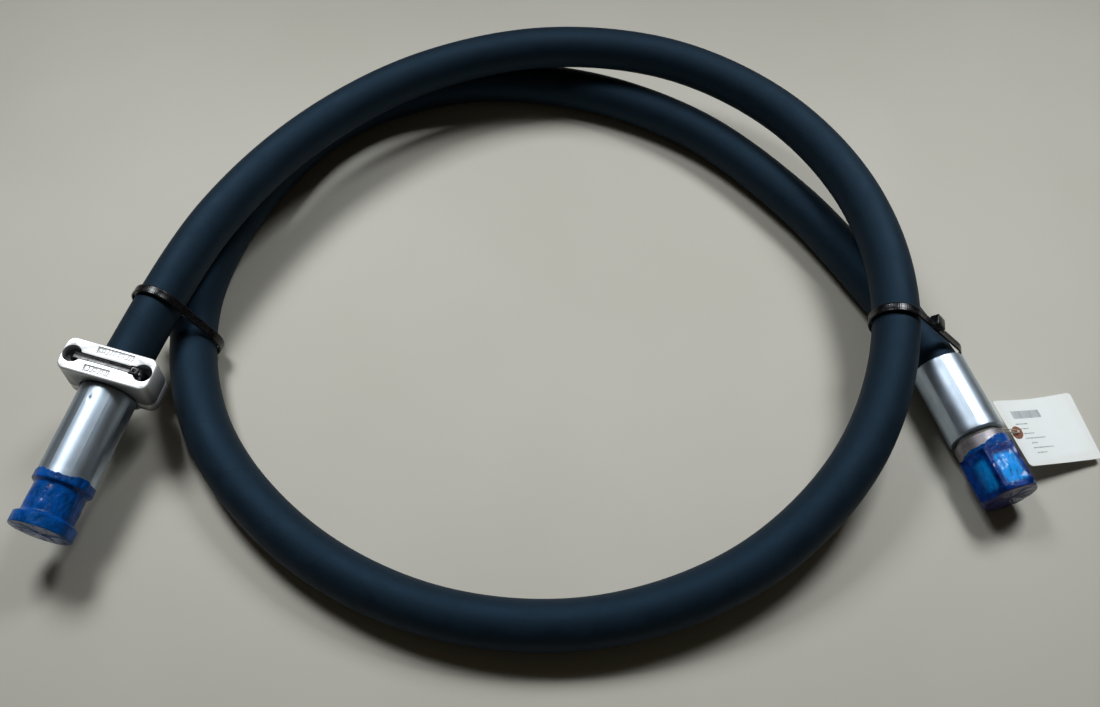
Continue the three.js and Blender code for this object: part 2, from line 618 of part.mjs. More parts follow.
// A fibre washer on each face of the tag, joined through its hole.
function eyeletGeometry() {
  const hub = tag.holeDiameter / 2 - clearance / 2;
  const low = -clearance / 2;
  const high = tag.thickness + clearance / 2;
  const geometry = revolved([
    [hub - 0.9, low - eyelet.wall], [eyelet.diameter / 2, low - eyelet.wall], [eyelet.diameter / 2, low],
    [hub, low], [hub, high], [eyelet.diameter / 2, high], [eyelet.diameter / 2, high + eyelet.wall],
    [hub - 0.9, high + eyelet.wall],
  ], 16);
  return geometry.rotateX(Math.PI / 2).translate(tagHole.x, tagHole.y, 0);
}

// The string goes a little over once round the insert's neck, between ferrule and nut, as a short
// helix, and both ends meet on the tag's eyelet.
function stringGeometry(tagFrame) {
  const loopRadius = insert.shoulderDiameter / 2 + tagString.loopClearance + tagString.diameter / 2;
  const middle = ferrule.swivelEndLength + nut.gapToFerrule / 2;
  swivelEnd.updateMatrixWorld(true);
  tagFrame.updateMatrixWorld(true);
  const height = tag.thickness + clearance + eyelet.wall + tagString.diameter / 2 + 0.3;
  const knot = tagFrame.localToWorld(new THREE.Vector3(tagHole.x, 0, height));
  const points = [];
  const steps = 14;
  for (let i = 0; i <= steps; i += 1) {
    const angle = THREE.MathUtils.degToRad(THREE.MathUtils.lerp(150, 510, i / steps));
    const [x, z] = [loopRadius * Math.cos(angle), loopRadius * Math.sin(angle)];
    const station = middle + tagString.pitch * (i / steps - 0.5);
    points.push(swivelEnd.localToWorld(new THREE.Vector3(x, station, z)));
  }
  const spread = tagFrame.localToWorld(new THREE.Vector3(tagHole.x, 1.2, height)).sub(knot);
  points.unshift(knot.clone().add(spread));
  points.push(knot.clone().sub(spread));
  const path = new THREE.CatmullRomCurve3(points, false, 'centripetal');
  const section = polygonPath(tagString.diameter / 2, 6);
  return facingOut(new THREE.ExtrudeGeometry(section, { steps: 34, bevelEnabled: false, extrudePath: path }));
}

function addTag() {
  const frame = new THREE.Group();
  frame.position.copy(tag.nearMiddle);
  frame.rotation.set(0, tag.droop, tag.azimuth, 'ZYX');
  assembly.add(frame);
  addPiece(frame, 'label_tag', tagGeometry(), finishes.tagCard);
  addPiece(frame, 'tag_eyelet', eyeletGeometry(), finishes.eyeletFibre);
  addPiece(assembly, 'tag_string', stringGeometry(frame), finishes.cottonString);
}

// ------------------------------------------------------------------------------------- assembly
addHose();
addFlangeEnd();
addSwivelEnd();
addClamp();
addLargeTie('left_cable_tie', leftTieStation, 0.3, -1);
addLargeTie('right_cable_tie', rightTieStation, 0.35, -1);
addTag();

export default assembly;
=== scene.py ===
"""Hydraulic hose assembly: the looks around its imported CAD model.

Every piece is made in its own frame in millimetres and placed in the model's frame in metres. A
fitting's frame has its station 0 at the ferrule's mouth, +Y out along the fitting and +Z up.
"""
import math
import random

import bmesh
import bpy
import numpy as np
from mathutils import Matrix, Vector, noise


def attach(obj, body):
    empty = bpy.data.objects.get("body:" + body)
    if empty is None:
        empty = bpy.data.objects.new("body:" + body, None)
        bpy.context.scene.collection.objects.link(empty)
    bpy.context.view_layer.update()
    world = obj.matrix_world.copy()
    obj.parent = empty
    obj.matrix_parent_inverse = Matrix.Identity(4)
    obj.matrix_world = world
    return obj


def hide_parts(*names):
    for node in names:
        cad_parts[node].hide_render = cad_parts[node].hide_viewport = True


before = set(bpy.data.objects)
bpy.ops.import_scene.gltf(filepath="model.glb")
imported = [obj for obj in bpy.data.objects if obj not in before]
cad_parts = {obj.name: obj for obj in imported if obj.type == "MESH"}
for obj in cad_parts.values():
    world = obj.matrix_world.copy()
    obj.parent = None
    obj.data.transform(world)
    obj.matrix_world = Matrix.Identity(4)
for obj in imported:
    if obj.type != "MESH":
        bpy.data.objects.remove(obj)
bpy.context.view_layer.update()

MM = 0.001
TAU = 2 * math.pi

# ------------------------------------------------------------------------------------- sizes, in mm
CLEARANCE = 0.3
HOSE_RADIUS = 19.0
HOSE_WALL = 1.6
HOSE_WRAP_LEAD = 52.0

FERRULE_RADIUS = 22.0
FLANGE_FERRULE = 80.0
SWIVEL_FERRULE = 68.0
FERRULE_END_WALL = 12.0
FERRULE_BORE = HOSE_RADIUS + 0.4
CRIMP_DEPTH = 0.08
CRIMP_DIES = 8

INSERT_BORE = 9.5
INSERT_TAIL = 11.6
INSERT_BARB = 0.8
INSERT_LOCK = 13.0
INSERT_SHOULDER = 16.0

NECK_STATION = FLANGE_FERRULE + CLEARANCE
NECK_RADIUS = 19.0
FLANGE_RADIUS = 22.225
FLANGE_BACK = NECK_STATION + 27
FLANGE_FACE = FLANGE_BACK + 8
CAP_WALL = 0.6
CAP_INNER = FLANGE_RADIUS + CLEARANCE
CAP_FACE = FLANGE_FACE + CLEARANCE + CAP_WALL
CAP_SKIRT = FLANGE_FACE - 7
FILM_WALL = 0.3
FILM_OVER_CAP = CAP_INNER + CAP_WALL + CLEARANCE
FILM_CUT = CAP_SKIRT - CLEARANCE

NUT_START = SWIVEL_FERRULE + 3.5
NUT_FLATS = 41.3
NUT_CORNER = NUT_FLATS / 2 / math.cos(math.pi / 6)
NUT_SHOULDER = 20.5
HEX_START = NUT_START + 14.5
NUT_END = HEX_START + 34
NUT_SHELF = NUT_START + 20.2
NUT_NECK = 13.6
NUT_THREAD = 18.0
WIRE_STATION = NUT_START + 7.25
WIRE_RADIUS = 0.95
PLUG_FACE = NUT_END + CLEARANCE + 1.7
PLUG_LENGTH = 15.0
COLLAR_FILM_END = HEX_START - 1.3

CLAMP_LENGTH = 72.6
CLAMP_WIDTH = 28.0
CLAMP_CORNER = 7.0
CLAMP_TOP = 30.0
CLAMP_EAR = 12.0
CLAMP_SHELL = 2.8
CLAMP_FRONT = 0.7
CLAMP_MIDDLE = CLAMP_FRONT - CLAMP_WIDTH / 2
CLAMP_BORE = HOSE_RADIUS + 0.9
CLAMP_MOUTH = FERRULE_RADIUS + 1.2
CLAMP_MOUTH_DEPTH = 3.5
CLAMP_ROLL = math.radians(-8)
BOLT_X = 28.0
BOLT_HOLE = 3.5
BOLT_SEAT = 7.25
BOLT_SEAT_DEPTH = 9.0
GROOVE_WIDTH = 5.8
GROOVE_DEPTH = 2.6
PLAQUE_DEPTH = 0.6
PLAQUE_WIDTH = 6.2
SMALL_TIE = dict(width=4.8, thickness=1.3, head=(7.0, 6.6, 4.6))
LARGE_TIE = dict(width=7.6, thickness=1.5, head=(11.0, 10.0, 7.5))
TIE_HEAD_X = -BOLT_X + 6.5

TAG_LENGTH = 68.0
TAG_WIDTH = 60.0
TAG_THICKNESS = 0.4
TAG_HOLE = 2.0
TAG_HOLE_X = 6.0
TAG_NEAR_MIDDLE = Vector((0.3482, -0.120, 0.020))
TAG_AZIMUTH = math.radians(18)
TAG_DROOP = math.radians(14)

# ----------------------------------------------------------------------------------- the hose's route
# Its centreline in metres, from the cut end in the flange fitting to the cut end in the swivel fitting.
HOSE_ROUTE = [Vector(p) for p in [
    (-0.384, -0.171, 0.0465), (-0.369, -0.109, 0.0505), (-0.361, -0.078, 0.0525), (-0.312, 0.058, 0.0625),
    (-0.242, 0.165, 0.061), (-0.146, 0.242, 0.060), (-0.030, 0.278, 0.060), (0.091, 0.262, 0.060),
    (0.189, 0.193, 0.060), (0.248, 0.085, 0.061), (0.257, -0.038, 0.0595), (0.216, -0.151, 0.046),
    (0.130, -0.235, 0.029), (0.014, -0.277, 0.0205), (-0.108, -0.270, 0.0193), (-0.218, -0.215, 0.0193),
    (-0.299, -0.121, 0.0198), (-0.327, -0.006, 0.0212), (-0.300, 0.115, 0.0196), (-0.230, 0.217, 0.0193),
    (-0.122, 0.269, 0.0193), (0.000, 0.264, 0.0193), (0.112, 0.212, 0.0193), (0.200, 0.121, 0.0193),
    (0.253, 0.035, 0.0198), (0.278, -0.015, 0.0218), (0.298, -0.060, 0.0224), (0.312, -0.1075, 0.0224),
]]


def centripetal(points, per_span):
    """Points on the centripetal Catmull-Rom curve through the given ones."""
    ends = [2 * points[0] - points[1], *points, 2 * points[-1] - points[-2]]
    line = []
    for a, b, c, d in zip(ends, ends[1:], ends[2:], ends[3:]):
        before, span, after = ((q - p).length ** 0.5 for p, q in ((a, b), (b, c), (c, d)))
        leave = ((b - a) / before - (c - a) / (before + span) + (c - b) / span) * span
        arrive = ((c - b) / span - (d - b) / (span + after) + (d - c) / after) * span
        for i in range(per_span):
            t = i / per_span
            line.append(b + leave * t + (3 * (c - b) - 2 * leave - arrive) * t ** 2
                        + (2 * (b - c) + leave + arrive) * t ** 3)
    return [*line, points[-1].copy()]


def evenly(line, pitch):
    """The same line with its points a pitch apart, and its length."""
    steps = [(b - a).length for a, b in zip(line, line[1:])]
    reach = np.concatenate([[0], np.cumsum(steps)])
    count = round(reach[-1] / pitch) + 1
    places = np.linspace(0, reach[-1], count)
    table = np.array(line)
    columns = [np.interp(places, reach, table[:, i]) for i in range(3)]
    return [Vector(p) for p in np.stack(columns, axis=1)], reach[-1]


ROUTE, ROUTE_LENGTH = evenly(centripetal(HOSE_ROUTE, 60), 0.004)


# --------------------------------------------------------------------------------------- the camera
def add_camera():
    """The photograph's viewpoint: 0.76 m above the floor, looking down and towards +Y."""
    depression = math.radians(57.93)
    roll = math.radians(0.53)
    forward = Vector((0, math.cos(depression), -math.sin(depression)))
    level_up = Vector((0, math.sin(depression), math.cos(depression)))
    right = math.cos(roll) * Vector((1, 0, 0)) + math.sin(roll) * level_up
    up = -math.sin(roll) * Vector((1, 0, 0)) + math.cos(roll) * level_up
    data = bpy.data.cameras.new("camera")
    data.sensor_fit = "HORIZONTAL"
    data.sensor_width = 36.0
    data.lens = 34.04
    data.clip_start = 0.01
    camera = bpy.data.objects.new("camera", data)
    turn = Matrix((right, up, -forward)).transposed().to_4x4()
    camera.matrix_world = Matrix.Translation((-0.024, -0.512, 0.7599)) @ turn
    bpy.context.scene.collection.objects.link(camera)
    bpy.context.scene.camera = camera


add_camera()


# --------------------------------------------------------------------------------- placement frames
def basis(x, y, z, origin):
    return Matrix.Translation(origin) @ Matrix((x, y, z)).transposed().to_4x4()


def fitting_frame(hose_end, before_end):
    outward = (hose_end - before_end).normalized()
    up = (Vector((0, 0, 1)) - outward * outward.z).normalized()
    return basis(outward.cross(up), outward, up, before_end) @ Matrix.Scale(MM, 4)


FLANGE_END = fitting_frame(HOSE_ROUTE[0], HOSE_ROUTE[1])
SWIVEL_END = fitting_frame(HOSE_ROUTE[-1], HOSE_ROUTE[-2])
CLAMP = FLANGE_END @ Matrix.Rotation(CLAMP_ROLL, 4, "Y")
TAG = (Matrix.Translation(TAG_NEAR_MIDDLE) @ Matrix.Rotation(TAG_AZIMUTH, 4, "Z")
       @ Matrix.Rotation(TAG_DROOP, 4, "Y") @ Matrix.Scale(MM, 4))


# ------------------------------------------------------------------------------------ mesh building
def new_object(name, mesh):
    piece = bpy.data.objects.new(name, mesh)
    bpy.context.scene.collection.objects.link(piece)
    return piece


def make_piece(name, points, faces, place=None, uvs=None, sharp=32):
    """A smooth-shaded mesh from points in mm. uvs holds one list of (u, v) for each face."""
    mesh = bpy.data.meshes.new(name)
    place = place or Matrix.Scale(MM, 4)
    mesh.from_pydata([place @ Vector(p) for p in points], [], faces)
    if uvs:
        layer = mesh.uv_layers.new(name="UVMap")
        layer.data.foreach_set("uv", [c for face in uvs for corner in face for c in corner])
    body = bmesh.new()
    body.from_mesh(mesh)
    bmesh.ops.remove_doubles(body, verts=body.verts, dist=1e-7)
    bmesh.ops.dissolve_degenerate(body, edges=body.edges, dist=1e-7)
    bmesh.ops.recalc_face_normals(body, faces=body.faces)
    body.to_mesh(mesh)
    body.free()
    mesh.shade_smooth()
    mesh.set_sharp_from_angle(angle=math.radians(sharp))
    return new_object(name, mesh)


def softened(outline, radius, steps=3, closed=True):
    """A 2-D outline with its corners rounded, each limited by the edges beside it."""
    points = [Vector(p) for p in outline]
    result = []
    for i, corner in enumerate(points):
        if not closed and i in (0, len(points) - 1):
            result.append(corner)
            continue
        back = points[i - 1] - corner
        ahead = points[(i + 1) % len(points)] - corner
        cut = min(radius, 0.45 * back.length, 0.45 * ahead.length)
        if cut < 1e-4:
            result.append(corner)
            continue
        start, end = corner + back.normalized() * cut, corner + ahead.normalized() * cut
        for k in range(steps + 1):
            t = k / steps
            result.append(start * (1 - t) ** 2 + corner * 2 * t * (1 - t) + end * t ** 2)
    return result


def divided(outline, longest, closed=True):
    """The outline with extra points, so that no edge is longer than asked."""
    points = list(outline)
    pairs = list(zip(points, points[1:] + points[:1])) if closed else list(zip(points, points[1:]))
    result = []
    for a, b in pairs:
        count = max(1, math.ceil((b - a).length / longest))
        result += [a.lerp(b, k / count) for k in range(count)]
    return result if closed else [*result, points[-1]]


def lathe(name, outline, place, closed=True, segments=128, shape=None, sharp=32):
    """Turns an outline of (radius, station) about Y. The seam is underneath.
    shape(angle, radius, station) moves a point: it gives the new radius and station."""
    shape = shape or (lambda angle, radius, station: (radius, station))
    points, faces, uvs = [], [], []
    run = [0.0]
    ring = list(outline) + ([outline[0]] if closed else [])
    for a, b in zip(ring, ring[1:]):
        run.append(run[-1] + (b - a).length)
    for j in range(segments):
        angle = -math.pi / 2 + j * TAU / segments
        for profile in outline:
            radius, station = shape(angle, profile.x, profile.y) if profile.x > 0 else profile
            points.append((radius * math.cos(angle), station, radius * math.sin(angle)))
    size = len(outline)
    girth = TAU * max(p.x for p in outline)
    for j in range(segments):
        k = (j + 1) % segments
        for i in range(size if closed else size - 1):
            n = (i + 1) % size
            faces.append((j * size + i, j * size + n, k * size + n, k * size + i))
            low, high = j / segments * girth, (j + 1) / segments * girth
            uvs.append([(low, run[i]), (low, run[i + 1]), (high, run[i + 1]), (high, run[i])])
    return make_piece(name, points, faces, place, uvs, sharp)


def outline_of(*pairs):
    return [Vector(p) for p in pairs]


def sweep(name, rings, place, closed=False, sharp=32, capped=True):
    """A skin through rings of the same number of points, in order along a path."""
    points = [p for ring in rings for p in ring]
    size, count = len(rings[0]), len(rings)
    faces = []
    for j in range(count if closed else count - 1):
        k = (j + 1) % count
        faces += [(j * size + i, j * size + (i + 1) % size, k * size + (i + 1) % size, k * size + i)
                  for i in range(size)]
    if capped and not closed:
        faces += [tuple(range(size)), tuple((count - 1) * size + i for i in range(size))]
    return make_piece(name, points, faces, place, sharp=sharp)


def rounded_box(name, size, place, radius=0.6):
    """A box centred on its frame's origin, with rounded edges."""
    body = bmesh.new()
    bmesh.ops.create_cube(body, size=1)
    bmesh.ops.scale(body, vec=Vector(size), verts=body.verts)
    bmesh.ops.bevel(body, geom=body.edges[:], offset=radius, segments=3, profile=0.5, affect="EDGES")
    bmesh.ops.transform(body, matrix=place, verts=body.verts)
    mesh = bpy.data.meshes.new(name)
    body.to_mesh(mesh)
    body.free()
    mesh.shade_smooth()
    mesh.set_sharp_from_angle(angle=math.radians(40))
    return new_object(name, mesh)


def joined(name, pieces):
    """One object from several that overlap or touch, such as a strap and its head."""
    body = bmesh.new()
    for piece in pieces:
        body.from_mesh(piece.data)
    mesh = bpy.data.meshes.new(name)
    body.to_mesh(mesh)
    body.free()
    for piece in pieces:
        bpy.data.objects.remove(piece)
    mesh.set_sharp_from_angle(angle=math.radians(40))
    return new_object(name, mesh)


def carved(piece, cutters, operation="DIFFERENCE"):
    """The piece with each cutter taken away from it, or joined to it, one at a time."""
    for cutter in cutters:
        tool = piece.modifiers.new("cut", "BOOLEAN")
        tool.operation = operation
        tool.object = cutter
        tool.solver = "EXACT"
        applied(piece)
        bpy.data.objects.remove(cutter)
    return piece


def applied(piece):
    """Bakes the piece's modifiers into its mesh."""
    bpy.context.view_layer.update()
    result = bpy.data.meshes.new_from_object(piece.evaluated_get(bpy.context.evaluated_depsgraph_get()))
    piece.modifiers.clear()
    piece.data = result
    return piece


def welded(piece):
    """Merges the sliver points that cuts leave, so that the piece stays closed when its edges are rounded."""
    body = bmesh.new()
    body.from_mesh(piece.data)
    bmesh.ops.remove_doubles(body, verts=body.verts, dist=0.01 * MM)
    bmesh.ops.dissolve_degenerate(body, edges=body.edges, dist=0.001 * MM)
    body.to_mesh(piece.data)
    body.free()
    return piece


def edge_rounded(piece, width, angle=40, segments=2):
    """Small round edges wherever two faces meet at more than the angle."""
    tool = piece.modifiers.new("edges", "BEVEL")
    tool.width = width * MM
    tool.segments = segments
    tool.limit_method = "ANGLE"
    tool.angle_limit = math.radians(angle)
    tool.use_clamp_overlap = True
    tool.harden_normals = False
    applied(piece)
    piece.data.shade_smooth()
    piece.data.set_sharp_from_angle(angle=math.radians(35))
    return piece


def set_point_values(piece, name, value_at):
    """Stores a number on each point of the mesh, worked out from its place in the model's frame."""
    attribute = piece.data.attributes.new(name, "FLOAT", "POINT")
    attribute.data.foreach_set("value", [value_at(v.co) for v in piece.data.vertices])


def smoothstep(low, high, value):
    t = min(1.0, max(0.0, (value - low) / (high - low)))
    return t * t * (3 - 2 * t)


# --------------------------------------------------------------------------------------- materials
class Nodes:
    """A material's node tree with short calls for the nodes that these surfaces share."""

    def __init__(self, name, color, roughness, metallic=0.0, **constants):
        self.material = bpy.data.materials.new(name)
        self.material.use_nodes = True
        self.tree = self.material.node_tree
        self.shader = self.tree.nodes["Principled BSDF"]
        self.shader.inputs["Base Color"].default_value = (*color, 1)
        self.shader.inputs["Roughness"].default_value = roughness
        self.shader.inputs["Metallic"].default_value = metallic
        for socket, value in constants.items():
            self.shader.inputs[socket.replace("_", " ")].default_value = value

    def node(self, kind, inputs=(), **settings):
        made = self.tree.nodes.new("ShaderNode" + kind)
        for key, value in settings.items():
            setattr(made, key, value)
        for socket, value in dict(inputs).items():
            if isinstance(value, bpy.types.NodeSocket):
                self.tree.links.new(value, made.inputs[socket])
            else:
                made.inputs[socket].default_value = value
        return made

    def place(self, kind="Object", scale=(1, 1, 1)):
        """Texture coordinates in millimetres: the model's own frame, or the mesh's UV map."""
        source = self.node("TexCoord").outputs[kind]
        unit = 1000 if kind == "Object" else 1
        return self.node("Mapping", {"Vector": source, "Scale": [unit * s for s in scale]}).outputs[0]

    def noise(self, vector, scale, detail=4.0, roughness=0.55):
        inputs = {"Vector": vector, "Scale": scale, "Detail": detail, "Roughness": roughness}
        return self.node("TexNoise", inputs).outputs["Fac"]

    def math(self, operation, *values):
        made = self.node("Math", dict(enumerate(values)), operation=operation)
        return made.outputs[0]

    def ramp(self, value, low, high, start, end):
        """value from low to high becomes start to end."""
        inputs = {"Value": value, "From Min": low, "From Max": high, "To Min": start, "To Max": end}
        return self.node("MapRange", inputs).outputs["Result"]

    def mix(self, share, a, b):
        made = self.node("Mix", data_type="RGBA")
        factor = made.inputs["Factor"]
        if isinstance(share, bpy.types.NodeSocket):
            self.tree.links.new(share, factor)
        else:
            factor.default_value = share
        for socket, value in zip([s for s in made.inputs if s.type == "RGBA"], (a, b)):
            if isinstance(value, bpy.types.NodeSocket):
                self.tree.links.new(value, socket)
            else:
                socket.default_value = (*value, 1)
        return [s for s in made.outputs if s.type == "RGBA"][0]

    def attribute(self, name):
        return self.node("Attribute", attribute_name=name).outputs["Fac"]

    def finish(self, color=None, roughness=None, height=None, depth=0.1, strength=1.0):
        """Links what varies to the shader. depth is the bump's height in millimetres."""
        if color is not None:
            self.tree.links.new(color, self.shader.inputs["Base Color"])
        if roughness is not None:
            self.tree.links.new(roughness, self.shader.inputs["Roughness"])
        if height is not None:
            bump = self.node("Bump", {"Height": height, "Distance": depth * MM, "Strength": strength})
            self.tree.links.new(bump.outputs[0], self.shader.inputs["Normal"])
        return self.material


def cover_rubber():
    """Matte rubber with the weave and the overlaps of the nylon wrap that it was cured in."""
    m = Nodes("cover_rubber", (0.007, 0.013, 0.020), 0.6, Specular_IOR_Level=0.34,
              Specular_Tint=(0.30, 0.62, 1.0, 1))
    separate = m.node("SeparateXYZ", {"Vector": m.node("TexCoord").outputs["UV"]})
    around, along = separate.outputs["X"], separate.outputs["Y"]
    turns = m.math("DIVIDE", around, TAU * HOSE_RADIUS)
    wobble = m.math("MULTIPLY", m.noise(m.place(), 0.02, 2), 0.12)
    lead = m.math("ADD", m.math("ADD", m.math("DIVIDE", along, HOSE_WRAP_LEAD), turns), wobble)
    strip = m.math("FRACT", lead)
    lap = m.ramp(strip, 0.0, 0.035, 1.0, 0.0)
    groove = m.ramp(m.math("ABSOLUTE", m.math("SUBTRACT", strip, 0.965)), 0.0, 0.03, 1.0, 0.0)
    threads_across = m.math("SINE", m.math("MULTIPLY", turns, TAU * 84))
    threads_along = m.math("SINE", m.math("MULTIPLY", along, TAU / 1.4))
    weave = m.math("MULTIPLY", threads_across, threads_along)
    coarse = m.noise(m.place(), 0.05, 5, 0.6)
    fine = m.noise(m.place(), 0.9, 4, 0.6)
    height = m.math("ADD", m.math("MULTIPLY", lap, 0.12), m.math("MULTIPLY", groove, -0.14))
    height = m.math("ADD", height, m.math("MULTIPLY", weave, 0.12))
    height = m.math("ADD", height, m.math("MULTIPLY", fine, 0.5))
    tone = m.mix(m.ramp(coarse, 0.3, 0.7, 0, 1), (0.0045, 0.0090, 0.0150), (0.0070, 0.014, 0.022))
    # painted shade: the wrap's sunken groove is darkened towards near-black
    tone = m.mix(m.math("MULTIPLY", groove, 0.25), tone, (0.003, 0.005, 0.007))
    dusty = m.mix(m.ramp(fine, 0.62, 0.8, 0, 0.18), tone, (0.024, 0.032, 0.040))
    rough = m.ramp(coarse, 0.3, 0.7, 0.58, 0.70)
    return m.finish(dusty, rough, height, 0.35, 0.8)


def turned_steel(name="plated_steel", tint=(0.52, 0.61, 0.71), along=0.03, around=2.6):
    """Plated steel with fine turning lines round its axis, faint stains and lengthwise scuffs."""
    m = Nodes(name, tint, 0.3, 1.0)
    lines = m.noise(m.place("UV", (along, around, 1)), 1.0, 6, 0.7)
    scuffs = m.noise(m.place("UV", (1.1, 0.025, 1)), 1.0, 5, 0.65)
    stain = m.noise(m.place(), 0.06, 5, 0.6)
    mark = m.attribute("mark")
    color = m.mix(m.ramp(stain, 0.35, 0.7, 0, 1), tint, [c * 0.92 for c in tint])
    color = m.mix(m.ramp(scuffs, 0.62, 0.78, 0, 0.2), color, [c * 0.7 for c in tint])
    color = m.mix(mark, color, (0.03, 0.03, 0.035))
    rough = m.math("ADD", m.ramp(stain, 0.3, 0.7, 0.36, 0.43), m.ramp(scuffs, 0.5, 0.8, 0.0, 0.08))
    height = m.math("ADD", m.math("MULTIPLY", lines, 0.6), m.math("MULTIPLY", scuffs, 0.4))
    return m.finish(color, rough, height, 0.02, 0.6)


def phosphated_steel():
    """The nut's dull grey finish, blotched and handled."""
    m = Nodes("dull_steel", (0.30, 0.29, 0.32), 0.45, 0.85)
    stain = m.noise(m.place(), 0.12, 6, 0.6)
    grain = m.noise(m.place(), 1.4, 4, 0.6)
    color = m.mix(m.ramp(stain, 0.35, 0.65, 0, 1), (0.36, 0.34, 0.37), (0.24, 0.225, 0.235))
    rough = m.ramp(stain, 0.3, 0.7, 0.38, 0.56)
    return m.finish(color, rough, grain, 0.03, 0.6)


def spring_steel():
    m = Nodes("spring_steel", (0.42, 0.43, 0.45), 0.35, 1.0)
    drawn = m.noise(m.place(), 0.8, 5, 0.6)
    return m.finish(None, m.ramp(drawn, 0.3, 0.7, 0.28, 0.46), drawn, 0.02, 0.5)


def wound_wire():
    """The steel spirals' surface: many wires side by side on a slant, with painted shade in the dark bands
    between them.
    """
    m = Nodes("wound_wire", (0.36, 0.35, 0.33), 0.4, 1.0)
    wave = m.node("TexWave", {"Vector": m.place("Object", (1, 0.8, 1)), "Scale": 0.7, "Distortion": 0.4},
                  wave_type="BANDS", bands_direction="DIAGONAL")
    # painted shade: the bands go dark in the valleys between the wires
    color = m.mix(wave.outputs["Fac"], (0.12, 0.12, 0.12), (0.48, 0.46, 0.42))
    return m.finish(color, None, wave.outputs["Fac"], 0.2, 0.8)


def cast_aluminium():
    """Bright die-cast aluminium, slightly grained, with painted shade in its hollows and down its sides where
    the mark attribute is set.
    """
    m = Nodes("cast_aluminium", (0.86, 0.87, 0.88), 0.45, 0.45, Specular_IOR_Level=0.5)
    stain = m.noise(m.place(), 0.09, 5, 0.6)
    grain = m.noise(m.place(), 1.6, 5, 0.65)
    pits = m.ramp(m.noise(m.place(), 0.8, 3, 0.5), 0.66, 0.74, 0, 1)
    shade = m.attribute("mark")
    color = m.mix(m.ramp(stain, 0.35, 0.7, 0, 1), (0.92, 0.93, 0.94), (0.80, 0.81, 0.83))
    color = m.mix(m.math("MULTIPLY", pits, 0.35), color, (0.38, 0.38, 0.39))
    # painted shade: the mark attribute darkens the clamp's seats, groove, plaque floors and sides
    color = m.mix(shade, color, (0.05, 0.06, 0.075))
    rough = m.ramp(stain, 0.3, 0.7, 0.36, 0.52)
    height = m.math("SUBTRACT", m.math("MULTIPLY", grain, 0.8), m.math("MULTIPLY", pits, 0.5))
    return m.finish(color, rough, height, 0.06, 0.7)


def black_nylon():
    m = Nodes("black_nylon", (0.004, 0.004, 0.005), 0.22, Specular_IOR_Level=0.3)
    flow = m.noise(m.place(), 0.25, 4, 0.5)
    color = m.mix(m.ramp(flow, 0.3, 0.7, 0, 1), (0.003, 0.003, 0.004), (0.007, 0.007, 0.009))
    return m.finish(color, m.ramp(flow, 0.3, 0.7, 0.16, 0.38), flow, 0.05, 0.5)


def blue_film():
    """Thin blue film: bright where it is stretched close over metal, partly a painted highlight on the nut's
    upper flats, deep where it is gathered in folds.
    """
    m = Nodes("blue_film", (0.003, 0.045, 0.30), 0.12, Specular_IOR_Level=0.3, Coat_Weight=0.25)
    m.shader.inputs["Coat Roughness"].default_value = 0.05
    m.shader.inputs["IOR"].default_value = 1.25
    tight_and_highlight = m.attribute("tight_and_highlight")
    folds = m.noise(m.place(), 0.11, 6, 0.62)
    creases = m.noise(m.place("Object", (1, 0.35, 1)), 0.32, 5, 0.6)
    depth = m.ramp(folds, 0.32, 0.68, 0, 1)
    color = m.mix(depth, (0.001, 0.008, 0.07), (0.002, 0.060, 0.34))
    # painted highlight in part: the azure patch follows the film attribute, which is set high only on the
    # nut's upper flats
    patch = m.math("MULTIPLY", tight_and_highlight, m.ramp(creases, 0.30, 0.5, 0.25, 1.0))
    color = m.mix(patch, color, (0.003, 0.33, 0.95))
    color = m.mix(m.attribute("gathered"), color, (0.045, 0.038, 0.14))
    height = m.math("ADD", m.math("MULTIPLY", folds, 0.7), m.math("MULTIPLY", creases, 0.5))
    return m.finish(color, m.ramp(creases, 0.3, 0.7, 0.06, 0.22), height, 1.6, 1.0)


def blue_plastic():
    m = Nodes("blue_plastic", (0.02, 0.08, 0.30), 0.38)
    cloud = m.noise(m.place(), 0.15, 4, 0.5)
    color = m.mix(m.ramp(cloud, 0.3, 0.7, 0, 1), (0.018, 0.07, 0.27), (0.026, 0.10, 0.36))
    return m.finish(color, m.ramp(cloud, 0.3, 0.7, 0.3, 0.46), cloud, 0.05, 0.4)


def dark_rubber(name, color):
    m = Nodes(name, color, 0.6)
    cloud = m.noise(m.place(), 0.3, 4, 0.5)
    return m.finish(m.mix(cloud, [c * 0.8 for c in color], [c * 1.3 for c in color]), None, cloud, 0.03, 0.4)


def tag_card():
    """Coated card, a little soiled and yellowed towards its edges."""
    m = Nodes("tag_card", (0.90, 0.91, 0.87), 0.55)
    stain = m.noise(m.place(), 0.05, 5, 0.6)
    fibre = m.noise(m.place("Object", (1, 0.5, 1)), 1.8, 5, 0.7)
    edge = m.attribute("edge")
    color = m.mix(m.ramp(stain, 0.4, 0.72, 0, 0.6), (0.93, 0.96, 0.95), (0.88, 0.90, 0.86))
    color = m.mix(m.math("MULTIPLY", edge, 0.3), color, (0.80, 0.79, 0.72))
    return m.finish(color, m.ramp(stain, 0.3, 0.7, 0.45, 0.65), fibre, 0.05, 0.5)


def print_ink():
    m = Nodes("print_ink", (0.42, 0.44, 0.46), 0.6)
    worn = m.noise(m.place(), 0.9, 4, 0.6)
    ink = m.mix(m.ramp(worn, 0.4, 0.6, 0, 1), (0.20, 0.22, 0.25), (0.42, 0.45, 0.48))
    return m.finish(ink, None, worn, 0.01)


def pressed_fibre():
    m = Nodes("pressed_fibre", (0.25, 0.09, 0.05), 0.7)
    cloud = m.noise(m.place(), 0.7, 5, 0.65)
    color = m.mix(m.ramp(cloud, 0.3, 0.7, 0, 1), (0.16, 0.05, 0.03), (0.36, 0.14, 0.08))
    return m.finish(color, None, cloud, 0.12, 0.7)


